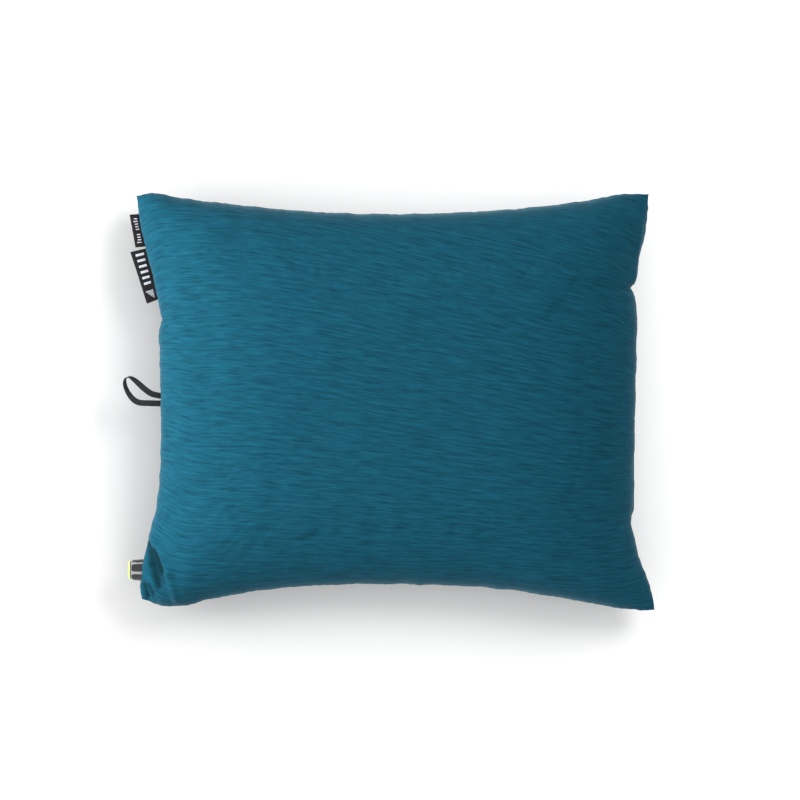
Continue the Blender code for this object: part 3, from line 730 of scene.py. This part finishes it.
# %% [markdown]
# ## Narrow woven goods
# The loop is grosgrain tape: a heavy weft in a fine warp, which gives it a rib straight across at every
# pick. The labels are damask, woven in black satin with a light figure. Both are drawn as threads in the
# piece's own UV map, which is laid out in metres, so a rib is as wide as the real one.


# %% Woven materials
def wave_along(tree, source, pitch):
    """A wave from 0 to 1 with this pitch in metres."""
    turn = add_node(tree, "ShaderNodeMath", {0: source, 1: math.tau / pitch}, operation="MULTIPLY")
    wave = add_node(tree, "ShaderNodeMath", {0: turn.outputs[0]}, operation="SINE")
    raised = add_node(tree, "ShaderNodeMath", {0: wave.outputs[0], 1: 0.5, 2: 0.5}, operation="MULTIPLY_ADD")
    return raised.outputs[0]


def woven(name, low, high, rib, thread, relief, **values):
    """A tape with ribs across it and threads along it. Low and high colour its grooves and its ribs."""
    made, tree, shader = new_material(name, **values)
    places = add_node(tree, "ShaderNodeUVMap", uv_map="cloth").outputs[0]
    ways = add_node(tree, "ShaderNodeSeparateXYZ", {0: places})
    ribs, threads = wave_along(tree, ways.outputs[1], rib), wave_along(tree, ways.outputs[0], thread)
    weave = add_node(tree, "ShaderNodeMath", {0: threads, 1: 0.35, 2: ribs}, operation="MULTIPLY_ADD")
    height = weave.outputs[0]
    worn = add_node(tree, "ShaderNodeTexNoise", {"Vector": places, "Scale": 220.0, "Detail": 3.0})
    share = add_node(tree, "ShaderNodeMath", {0: height, 1: worn.outputs["Fac"]}, operation="MULTIPLY")
    tree.links.new(add_mix(tree, share.outputs[0], linear(low), linear(high)), shader.inputs["Base Color"])
    bump = add_node(tree, "ShaderNodeBump", {"Height": height, "Strength": 0.5, "Distance": relief})
    tree.links.new(bump.outputs[0], shader.inputs["Normal"])
    return made


# Polyester grosgrain: black, with a dull shine on the ribs
grosgrain = woven("black_grosgrain", "#060608", "#202024", 0.9 * MM, 0.35 * MM, 0.00012, Roughness=0.6,
                  Sheen_Weight=0.12, Specular_IOR_Level=0.25)
# Polyester damask: satin ground, finer than grosgrain and a little shinier
damask = woven("black_damask", "#040406", "#141418", 0.45 * MM, 0.3 * MM, 0.00004, Roughness=0.55,
               Sheen_Weight=0.05, Specular_IOR_Level=0.2)
# The figure is the same weave with the white weft on top
figure = woven("white_figure", "#b9bac4", "#f4f5fa", 0.45 * MM, 0.3 * MM, 0.00004, Roughness=0.6)
# Dull-dyed spun polyester, which reads softer than the tape it holds
thread = new_material("polyester_thread", Base_Color=linear("#0f3a48"), Roughness=0.75, Sheen_Weight=0.3)[0]

# %% [markdown]
# ## The hang loop
# One length of tape is folded in two and both its ends are caught in the left seam. It leaves flat, stands
# on edge as it turns round its tip, and comes back the other way up. So it is swept along its own middle
# line, with a turn at each place. The line is smoothed between the places, because tape doesn't kink.

# %% Sweep the loop
LOOP_PLACES = (  # along X and Y from where it leaves the seam, up, and how far it has turned over
    (3.2, -3.5, -0.2, 0), (0, -3.5, 0, 0), (-10.6, -3.2, 0, 0), (-21, -2.6, 0.1, 6), (-28, 1.2, 0.8, 24),
    (-33.6, 9, 2.2, 44), (-36.4, 17, 3.8, 58), (-35.6, 23, 5.2, 80), (-31.2, 25, 5.8, 108),
    (-24.5, 20.6, 4.8, 142), (-16, 12.8, 3, 166), (-8.3, 7.2, 1.6, 178), (0, 5, 1.2, 180),
    (3.2, 4.6, 0.9, 180),
)
LOOP_ROOT = (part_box("cover_top")[0].x / MM + 23.9, 2.0, 58.0)
LOOP_WIDE, LOOP_THICK = 6.4, 0.8
LOOP_STEPS = 6  # between places


def through(places, steps):
    """A smooth line through places: a Catmull-Rom curve with this many steps between two of them."""
    places = np.asarray(places, float)
    padded = np.concatenate([2 * places[:1] - places[1:2], places, 2 * places[-1:] - places[-2:-1]])
    made = []
    for a, b, c, d in zip(padded, padded[1:], padded[2:], padded[3:]):
        for t in np.arange(steps) / steps:
            square, cube = 2 * a - 5 * b + 4 * c - d, 3 * b - a - 3 * c + d
            made.append(0.5 * (2 * b + (c - a) * t + square * t**2 + cube * t**3))
    return np.array(made + [places[-1]])


def loft_rings(name, rings, lengths, rounds, material):
    """A closed tube through rings of points, with a UV map: round each ring by along the tube, in metres."""
    rings = np.asarray(rings, float)
    count, around = rings.shape[:2]
    faces = [tuple(range(around))[::-1], tuple(range((count - 1) * around, count * around))]
    for i in range(count - 1):
        for j in range(around):
            k = (j + 1) % around
            faces.append((i * around + j, i * around + k, (i + 1) * around + k, (i + 1) * around + j))
    obj = make_object(name, rings.reshape(-1, 3), faces, material)
    layer = obj.data.uv_layers.new(name="cloth")
    for face in obj.data.polygons:
        wraps = {v % around for v in face.vertices} == {0, around - 1}
        closing = wraps and len(face.vertices) == 4
        for corner, v in zip(face.loop_indices, face.vertices):
            across = rounds[-1] if closing and v % around == 0 else rounds[v % around]
            layer.data[corner].uv = (across * MM, lengths[v // around] * MM)
    solid = bmesh.new()
    solid.from_mesh(obj.data)
    if solid.calc_volume(signed=True) < 0:
        bmesh.ops.reverse_faces(solid, faces=solid.faces)
        solid.to_mesh(obj.data)
    obj.data.set_sharp_from_angle(angle=math.radians(60))
    return obj


line = through(LOOP_PLACES, LOOP_STEPS)
middles = line[:, :3] + LOOP_ROOT
half_wide, half_thick = LOOP_WIDE / 2, LOOP_THICK / 2
section = [(half_wide - 0.25, half_thick), (-half_wide + 0.25, half_thick), (-half_wide, half_thick * 0.4)]
section += [(-half_wide, -half_thick * 0.4), (-half_wide + 0.25, -half_thick)]
section += [(half_wide - 0.25, -half_thick), (half_wide, -half_thick * 0.4), (half_wide, half_thick * 0.4)]
rings = []
for i, middle in enumerate(middles):
    ahead = Vector(middles[min(i + 1, len(middles) - 1)] - middles[max(i - 1, 0)]).normalized()
    across = Matrix.Rotation(math.radians(line[i, 3]), 3, ahead) @ Vector((0, 0, 1)).cross(ahead).normalized()
    face = ahead.cross(across)
    rings.append([middle + np.array(across) * a + np.array(face) * f for a, f in section])
lengths = np.insert(np.cumsum(np.linalg.norm(np.diff(middles, axis=0), axis=1)), 0, 0)
loop = loft_rings("webbing_loop", rings, lengths, [a for a, _ in section], grosgrain)
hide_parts("hang_loop")
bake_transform(loop)
print("The loop's tape is", round(lengths[-1]), "mm long")

# %% [markdown]
# ## The labels
# Each label is a strip of damask, folded at its outer edge, with both ends in the seam. A real label never
# lies quite flat: its two plies part a little, and its free edge waves. The figure on it is plain: a peak
# and a row of bars on the larger one, and a row of small bars on the smaller.

# %% Fold the labels
LABELS = {  # node: where its ends are on the seam and on its fold, in mm
    "maker_label": (((-255.6, 111.2), (-268.2, 106.4)), ((-267.6, 166.9), (-286.4, 162.4))),
    "size_label": (((-267.4, 168.6), (-281, 167.4)), ((-275.6, 204.2), (-287.8, 203.2))),
}
PLY = 0.28
PLIES = ((0, 0.3), (0.25, 0.34), (0.5, 0.36), (0.75, 0.34), (0.96, 0.24), (1, 0))
LABEL_STEPS = 16


def label_frame(name, share):
    """Where a label's seam and fold are at this share of its length, in mm, with the fold's wave."""
    (low_root, low_tip), (high_root, high_tip) = np.array(LABELS[name])
    root, tip = low_root + share * (high_root - low_root), low_tip + share * (high_tip - low_tip)
    node_low, node_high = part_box(name)
    height = (node_high.z - share * (node_high.z - node_low.z)) / MM - 0.45 * (1 - 2 * share) - 0.1
    wave = 0.4 * math.sin(math.tau * (share * 1.2 + 0.15)) - 0.3
    return np.array((*root, height)), np.array((*tip, height + wave))


def on_label(name, share, reach, lift):
    """A place on a label: share along the seam, reach from the seam to the fold, and lift off its middle."""
    root, tip = label_frame(name, share)
    return root + (tip - root) * reach + np.array((0, 0, lift))


def fold_label(name):
    around = []
    for side in (1, -1):
        plies = PLIES if side == 1 else PLIES[-2::-1]
        around += [(reach, side * height) for reach, height in plies]
    outline = [(reach, height + math.copysign(PLY / 2, height or 1)) for reach, height in around]
    outline[len(PLIES) - 1] = (1.012, 0)
    back = [(reach, height - math.copysign(PLY / 2, height or 1)) for reach, height in around][::-1]
    back[len(PLIES) - 1] = (0.99, 0)
    profile = outline + back
    rings = []
    for step in range(LABEL_STEPS + 1):
        rings.append([on_label(name, step / LABEL_STEPS, reach, height) for reach, height in profile])
    wide = np.linalg.norm(rings[0][0] - rings[0][len(PLIES) - 1])
    lengths = [np.linalg.norm(ring[0] - rings[0][0]) for ring in rings]
    obj = loft_rings(name + "_damask", rings, lengths, [reach * wide for reach, _ in profile], damask)
    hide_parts(name)
    return obj


def hinge_blend(obj):
    """Bakes a piece's place into its mesh."""
    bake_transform(obj)


def woven_figure(name, tag, bars, wide):
    """Bars woven across a label, each from one reach to another at a share of its length, in short picks."""
    lines = [[on_label(name, share, reach, 0.53) for reach in np.linspace(a, b, 9)] for share, a, b in bars]
    made = grow(f"{name}_{tag}", BAR_ROW, lines, Pitch=0.6 * MM, Long=0.62 * MM, Wide=wide * MM,
                Thick=0.14 * MM, Finish=figure)
    layer = made.data.uv_layers.get("cloth") or made.data.uv_layers.new(name="cloth")
    spots = [made.data.vertices[corner.vertex_index].co for corner in made.data.loops]
    layer.data.foreach_set("uv", [c for spot in spots for c in (spot.x, spot.y)])
    hinge_blend(made)


for name in LABELS:
    hinge_blend(fold_label(name))
large_bars = [(share, 0.3, 0.76) for share in (0.36, 0.47, 0.58, 0.69, 0.8, 0.91)]
peak = [(0.07 + 0.02 * i, 0.28, 0.34 + 0.066 * i) for i in range(8)]
small_bars = [(0.14 + 0.08 * i, 0.45, 0.68 if i % 4 else 0.76) for i in range(10) if i != 4]
woven_figure("maker_label", "bars", large_bars, 2.6)
woven_figure("maker_label", "peak", peak, 0.7)
woven_figure("size_label", "bars", small_bars, 1.2)

# %% [markdown]
# ## Moulded parts
# The valve is moulded ABS: black grips, with the glossy flutes between them coloured light grey as a painted
# reflection of the bright room, and a lip of lime silicone that the mouth seals on. Its barrel is a solid of
# revolution whose wall
# follows a rule: six grips stand out of it, each a rounded rectangle with a shallow dish, so it is turned
# with a radius that changes round and along.


# %% Materials for moulded parts
def moulded(name, colour, grain, depth, **values):
    """A moulded or cast finish: a fine grain of this size and depth in metres, and scuffs in its shine."""
    made, tree, shader = new_material(name, Base_Color=linear(colour), **values)
    places = add_node(tree, "ShaderNodeTexCoord").outputs["Object"]
    fine = add_node(tree, "ShaderNodeTexNoise", {"Vector": places, "Scale": 1 / grain, "Detail": 2.0})
    height = fine.outputs["Fac"]
    scuffs = add_node(tree, "ShaderNodeTexNoise", {"Vector": places, "Scale": 160.0, "Detail": 5.0})
    dull = shader.inputs["Roughness"].default_value
    rough = add_node(tree, "ShaderNodeMapRange", {"Value": scuffs.outputs["Fac"], "To Min": dull * 0.8,
                                                 "To Max": dull * 1.25})
    tree.links.new(rough.outputs[0], shader.inputs["Roughness"])
    bump = add_node(tree, "ShaderNodeBump", {"Height": height, "Strength": 0.3, "Distance": depth})
    tree.links.new(bump.outputs[0], shader.inputs["Normal"])
    return made


# Black ABS from a polished mould: a clean, rather sharp shine over a little orange peel
black_abs = moulded("black_abs", "#0b0b0d", 1.2 * MM, 0.00003, Roughness=0.22, IOR=1.53)
# Painted reflection: the flutes between the grips get this light grey in place of the bright room their gloss
# reflects
reflection_grey_abs = moulded("grey_abs_painted_reflection", "#8d8e93", 0.6 * MM, 0.00002, Roughness=0.35, IOR=1.53)
# Silicone lets light a little way in, which makes its lime look clean and pale
lime_silicone = moulded("lime_silicone", "#dcef8e", 0.8 * MM, 0.00003, Roughness=0.4, IOR=1.41,
                        Subsurface_Weight=0.4, Subsurface_Scale=0.003)
black_rubber = moulded("black_rubber", "#111112", 0.3 * MM, 0.00004, Roughness=0.7, IOR=1.5)
painted_zinc = moulded("painted_zinc", "#26282c", 0.5 * MM, 0.00003, Roughness=0.38, Metallic=0.35)
nylon = moulded("nylon_monofilament", "#1d3c47", 0.4 * MM, 0.00001, Roughness=0.3, IOR=1.53)

# %% Turn the valve's barrel and lip
GRIPS = 6
FLUTE_AT = -12  # degrees round from the top, where one flute lies
GRIP_HALF = 22.5  # degrees
FLUTE_DEPTH = 0.9
BARREL = ((-8.4, 12.2), (-4, 12.0), (-1, 11.8), (4, 11.4), (9, 11.0), (11.8, 10.8), (12.5, 10.55), (13, 10.0))
BORE = ((3.75, 13), (3.75, 10.3), (7.3, 10.3), (7.3, 2.2), (8.6, 2.2), (8.6, 0.2), (7.3, 0.2), (7.3, -9),
        (11.6, -9))
LIP = ((4.2, 13.3), (10.0, 13.3), (10.3, 13.6), (10.35, 14.1), (10.15, 14.7), (9.7, 15.15), (9, 15.42),
       (8.2, 15.5), (7.3, 15.4), (6.3, 15.05), (5.4, 14.75), (4.6, 14.6), (4.25, 14.35))


def grip_share(height, degrees, inset):
    """1 on a grip, 0 off it, with a soft edge."""
    step = 360 / GRIPS
    off = np.abs((degrees - FLUTE_AT) % step - step / 2) / GRIP_HALF
    along = np.abs(height - 3.2) / 8.4
    span = (off ** 5 + along ** 5) ** 0.2
    return smoothstep(span, 1.04 - inset, 0.94 - inset)


def turned(name, rings, segments, materials, shape=None, paint=None):
    """A solid of revolution about the valve's axis, from a closed ring of (radius, height) in mm."""
    degrees = np.arange(segments) * 360 / segments
    angles = np.radians(degrees)
    points = []
    for radius, height in rings:
        r = shape(radius, height, degrees) if shape else np.full(segments, radius)
        points.append(np.stack([np.full(segments, VALVE_AXIS[0] - height), VALVE_AXIS[1] + r * np.sin(angles),
                                VALVE_AXIS[2] + r * np.cos(angles)], -1))
    count = len(rings)
    faces = []
    for i in range(count):
        here, following = i * segments, (i + 1) % count * segments
        for j in range(segments):
            k = (j + 1) % segments
            faces.append((here + j, here + k, following + k, following + j))
    obj = make_object(name, np.concatenate(points), faces, *materials)
    solid = bmesh.new()
    solid.from_mesh(obj.data)
    if solid.calc_volume(signed=True) < 0:
        bmesh.ops.reverse_faces(solid, faces=solid.faces)
        solid.to_mesh(obj.data)
    if paint:
        for number, face in enumerate(obj.data.polygons):
            i, j = divmod(number, segments)
            radius, height = (np.array(rings[i]) + rings[(i + 1) % count]) / 2
            face.material_index = paint(radius, height, (j + 0.5) * 360 / segments)
    obj.data.set_sharp_from_angle(angle=math.radians(40))
    return obj


def barrel_wall(radius, height, degrees):
    if radius < 9.9 or height < -8.9:
        return np.full(len(degrees), radius)
    flutes = FLUTE_DEPTH * smoothstep(height, -7.5, -6) * smoothstep(height, 13.2, 12.4)
    return radius - flutes * (1 - grip_share(height, degrees, 0)) - 0.22 * grip_share(height, degrees, 0.28)


# The flutes between the grips take the light grey of the painted reflection, and the grips stay black
def barrel_paint(radius, height, degrees):
    on_wall = radius > 9.9 and -6.8 < height < 12.2
    return int(bool(on_wall and grip_share(height, degrees, 0) < 0.5))


heights = np.linspace(-8.4, 13, 58)
wall = [(float(np.interp(h, *zip(*BARREL))), float(h)) for h in heights]
knob = turned("valve_barrel", [*wall, *BORE], 216, (black_abs, reflection_grey_abs), barrel_wall, barrel_paint)
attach(knob, "valve_knob")
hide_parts("valve_knob")
lip = turned("lime_lip", LIP, 96, (lime_silicone,))
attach(lip, "valve_knob")
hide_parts("valve_mouthpiece")
print("Barrel:", len(knob.data.polygons), "faces, lip:", len(lip.data.polygons))

# %% [markdown]
# ## The zip
# A nylon coil zip: on each tape a filament is wound into a flat spring and sewn down. It is set on the
# underside, turned a little to the ground, and two rows of lockstitch hold it to the cover. Diecast parts
# have no sharp edges, so the slider, its pull and the stops are copies of their plain solids with a small
# bevel.

# %% Wind the filament and sew the zip in
COIL_PITCH = 1.4
COIL_ENDS = (-105.5, 105.5)
COIL_SPAN = (0.25, 2.9)
COIL_HIGH = 1.5
FILAMENT = 0.28
for side, tag in ((1, "upper"), (-1, "lower")):
    turns = round((COIL_ENDS[1] - COIL_ENDS[0]) / COIL_PITCH)
    coil = grow("filament_" + tag, COIL, [[(0, 0, 0), (0, 0, 1)]], Turns=float(turns), Finish=nylon,
                Long=(COIL_ENDS[1] - COIL_ENDS[0]) * MM, Filament=FILAMENT * MM,
                Wide=(COIL_SPAN[1] - COIL_SPAN[0] - 2 * FILAMENT) * MM, Thick=(COIL_HIGH - 2 * FILAMENT) * MM)
    at = on_zip(COIL_ENDS[0], side * sum(COIL_SPAN) / 2, -0.95) * MM
    place = Matrix.Identity(4)
    for column, direction in enumerate((ZIP_ACROSS, ZIP_OUT, (0, 1, 0), at)):
        for line_number in range(3):
            place[line_number][column] = direction[line_number]
    coil.data.transform(place)
    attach(coil, "root")
    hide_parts("zip_coil_" + tag)

cover_faces = bmesh.new()
cover_faces.from_mesh(cover.data)
skin = BVHTree.FromBMesh(cover_faces)


def on_skin(along, across):
    """The place on the cover over a place on the zip, just proud of the cloth."""
    start, way = Vector(on_zip(along, across, 25) * MM), -Vector(ZIP_OUT)
    return np.array(skin.ray_cast(start, way)[0]) / MM + 0.12 * ZIP_OUT


rows = [[on_skin(y, across) for y in np.arange(-117, 115.5, 2.5)] for across in (-7.4, -10.2, 7.4, 10.2)]
topstitch = grow("zip_topstitch", STITCH_ROW, rows, Pitch=3.0 * MM, Long=2.4 * MM, Wide=0.5 * MM,
                 Thick=0.45 * MM, Finish=thread)
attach(topstitch, "root")


# %% Round the hard parts' edges
def softened(node, body, width, material):
    """A copy of a CAD node with its edges rounded, in its place."""
    solid = bmesh.new()
    solid.from_mesh(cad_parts[node].data)
    bmesh.ops.remove_doubles(solid, verts=solid.verts, dist=0.00001)
    bmesh.ops.dissolve_limit(solid, angle_limit=math.radians(1), verts=solid.verts, edges=solid.edges)
    mesh = bpy.data.meshes.new(node + "_cast")
    solid.to_mesh(mesh)
    obj = bpy.data.objects.new(node + "_cast", mesh)
    bpy.context.scene.collection.objects.link(obj)
    bevel = obj.modifiers.new("edges", "BEVEL")
    bevel.width, bevel.segments, bevel.angle_limit = width * MM, 2, math.radians(35)
    obj.data = bpy.data.meshes.new_from_object(obj.evaluated_get(bpy.context.evaluated_depsgraph_get()))
    obj.modifiers.clear()
    obj.data.materials.clear()
    obj.data.materials.append(material)
    obj.data.shade_smooth()
    obj.data.set_sharp_from_angle(angle=math.radians(50))
    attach(obj, body)
    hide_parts(node)
    return obj


for node, body, width in (("zip_slider", "zip_slider", 0.22), ("zip_pull", "zip_pull", 0.18),
                          ("zip_stop_closed", "root", 0.2), ("zip_stop_open", "root", 0.2)):
    softened(node, body, width, painted_zinc)

# %% [markdown]
# ## Inside the cover
# Nobody sees the core until the zip is open, but a part is used on its own too. The pad is open-cell foam,
# cut from a slab and draped over the bladder. The bladder is polyester cloth laminated with TPU, so a fine
# weave shows through a dull film, and its baffles are the same film unlaminated.


# %% Materials for the core and the tapes
def foam_material():
    """Polyurethane foam, sliced: pale grey and matt, with cells of about 1 mm open at the cut."""
    made, tree, shader = new_material("open_cell_foam", Base_Color=linear("#c9cfd2"), Roughness=1.0,
                                      Specular_IOR_Level=0.1)
    places = add_node(tree, "ShaderNodeTexCoord").outputs["Object"]
    cells = add_node(tree, "ShaderNodeTexVoronoi", {"Vector": places, "Scale": 900.0}).outputs["Distance"]
    tree.links.new(add_mix(tree, cells, linear("#9aa2a6"), linear("#dfe4e6")), shader.inputs["Base Color"])
    bump = add_node(tree, "ShaderNodeBump", {"Height": cells, "Strength": 0.6, "Distance": 0.0005})
    tree.links.new(bump.outputs[0], shader.inputs["Normal"])
    return made


def cloth_by_place(name, low, high, pitch, relief, **values):
    """A plain weave drawn from the piece's own place, for pieces that have no cloth map."""
    made, tree, shader = new_material(name, **values)
    places = add_node(tree, "ShaderNodeTexCoord").outputs["Object"]
    ways = add_node(tree, "ShaderNodeSeparateXYZ", {0: places})
    upright = add_node(tree, "ShaderNodeMath", {0: ways.outputs[0], 1: ways.outputs[2]}, operation="ADD")
    warp, weft = wave_along(tree, ways.outputs[1], pitch), wave_along(tree, upright.outputs[0], pitch)
    height = add_node(tree, "ShaderNodeMath", {0: warp, 1: weft}, operation="MULTIPLY").outputs[0]
    tree.links.new(add_mix(tree, height, linear(low), linear(high)), shader.inputs["Base Color"])
    bump = add_node(tree, "ShaderNodeBump", {"Height": height, "Strength": 0.4, "Distance": relief})
    tree.links.new(bump.outputs[0], shader.inputs["Normal"])
    return made


foam = foam_material()
laminate = cloth_by_place("tpu_laminate", "#7d868a", "#a4acb0", 0.7 * MM, 0.00003, Roughness=0.45)
film = cloth_by_place("tpu_film", "#98a1a5", "#a9b1b4", 6 * MM, 0.00001, Roughness=0.3)
twill = cloth_by_place("zip_tape_twill", "#10222a", "#24404b", 0.6 * MM, 0.00006, Roughness=0.8)
FINISHES = {
    black_abs: ("valve_boat", "valve_stem"),
    black_rubber: ("valve_plug", "valve_seal"),
    laminate: ("bladder_top", "bladder_bottom"),
    film: ("baffle_1", "baffle_2", "baffle_3", "baffle_4"),
    twill: ("zip_tape_upper", "zip_tape_lower"),
}
for finish, names in FINISHES.items():
    for name in names:
        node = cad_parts[name]
        if not node.material_slots:
            node.data.materials.append(finish)
        for place in node.material_slots:
            place.material = finish

# %% Drape the foam pad
FOAM_REACH, FOAM_INSET = 0.93, 8
FOAM_COLUMNS, FOAM_ROWS = 72, 58
FOAM_TOP, FOAM_UNDER = 60.2, 49.8  # its rise above the seam, in mm
foam_u, foam_v = (FOAM_REACH * np.linspace(-1, 1, count + 1) for count in (FOAM_COLUMNS, FOAM_ROWS))
foam_u, foam_v = np.meshgrid(foam_u, foam_v, indexing="ij")
foam_plan = coons(foam_u, foam_v) * (1 - FOAM_INSET / 262)
foam_loft = np.sqrt((1 - np.abs(foam_u) ** ROUNDNESS) * (1 - np.abs(foam_v) ** ROUNDNESS))
dents = 0.5 * (ripple(foam_plan.real, 30, 90, 3) + ripple(foam_plan.imag, 30, 90, 4))
foam_top = np.stack([foam_plan.real, foam_plan.imag, SEAM_Z + FOAM_TOP * foam_loft + dents], -1)
foam_under = np.stack([foam_plan.real, foam_plan.imag, SEAM_Z + FOAM_UNDER * foam_loft], -1)
foam_edge = rim(foam_top)
foam_top[foam_edge] = foam_under[foam_edge] = (foam_top[foam_edge] + foam_under[foam_edge]) / 2
pad = make_object("foam_slab", *bag(foam_top, foam_under), foam)
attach(pad, "root")
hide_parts("foam_pad")

# %% [markdown]
# ## The studio
# The pillow lies on white paper in a bright, even room. A low soft box on the left lights everything a
# little. A stronger one in the same place is flagged so that it reaches only the cloth: it rakes over it,
# which makes its left slope the brightest and lets the light fall off to the right, and one beyond the far
# side lifts the far edge the same way. One high on the right is flagged off the cloth: it only brightens
# the paper and the hard parts, and draws the soft shadow at the pillow's left and near sides. Light linking
# does the work of the flags.

# %% Floor, light and camera
CAMERA_HEIGHT = 2.46
VIEW_MIDDLE = (5.4 * MM, 2.2 * MM)
scene = bpy.context.scene
scene.view_settings.view_transform = "Standard"


def add_area(name, place, size, power, only=None, aim=(0, 0, 0.05)):
    """A round soft box. With only, it lights just those objects."""
    light = bpy.data.lights.new(name, "AREA")
    light.shape, light.size, light.energy = "DISK", size, power
    obj = bpy.data.objects.new(name, light)
    scene.collection.objects.link(obj)
    obj.location = place
    obj.rotation_euler = (Vector(aim) - Vector(place)).to_track_quat("-Z", "Y").to_euler()
    if only:
        lit = bpy.data.collections.new(name + "_lights")
        for receiver in only:
            lit.objects.link(receiver)
        obj.light_linking.receiver_collection = lit


floor_mesh = bpy.data.meshes.new("floor")
floor_mesh.from_pydata([(-4, -4, 0), (4, -4, 0), (4, 4, 0), (-4, 4, 0)], [], [(0, 1, 2, 3)])
floor = bpy.data.objects.new("floor", floor_mesh)
scene.collection.objects.link(floor)
paper, _, _ = new_material("white_paper", Base_Color=linear("#cbcbcb"), Roughness=0.9, Specular_IOR_Level=0.1)
floor.data.materials.append(paper)
floor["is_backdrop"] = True

world = bpy.data.worlds.new("studio")
world.use_nodes = True
world.node_tree.nodes["Background"].inputs[0].default_value = (1, 1, 1, 1)
world.node_tree.nodes["Background"].inputs[1].default_value = 1.38
scene.world = world
hard_parts = [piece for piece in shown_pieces() if piece is not cover]
add_area("high_right", (0.9, 0.8, 1.5), 0.9, 26, only=[floor, *hard_parts])
add_area("low_left", (-0.9, 0.1, 0.5), 0.5, 2.4)
add_area("low_left_on_cloth", (-0.9, 0.1, 0.5), 0.5, 16.6, only=[cover])
add_area("far_side_on_cloth", (0, 1.5, 0.6), 0.7, 6, only=[cover])

camera_data = bpy.data.cameras.new("camera")
camera_data.lens, camera_data.sensor_width = 100, 36
camera_data.clip_end = 20
camera = bpy.data.objects.new("camera", camera_data)
scene.collection.objects.link(camera)
camera.location = (*VIEW_MIDDLE, CAMERA_HEIGHT)
scene.camera = camera
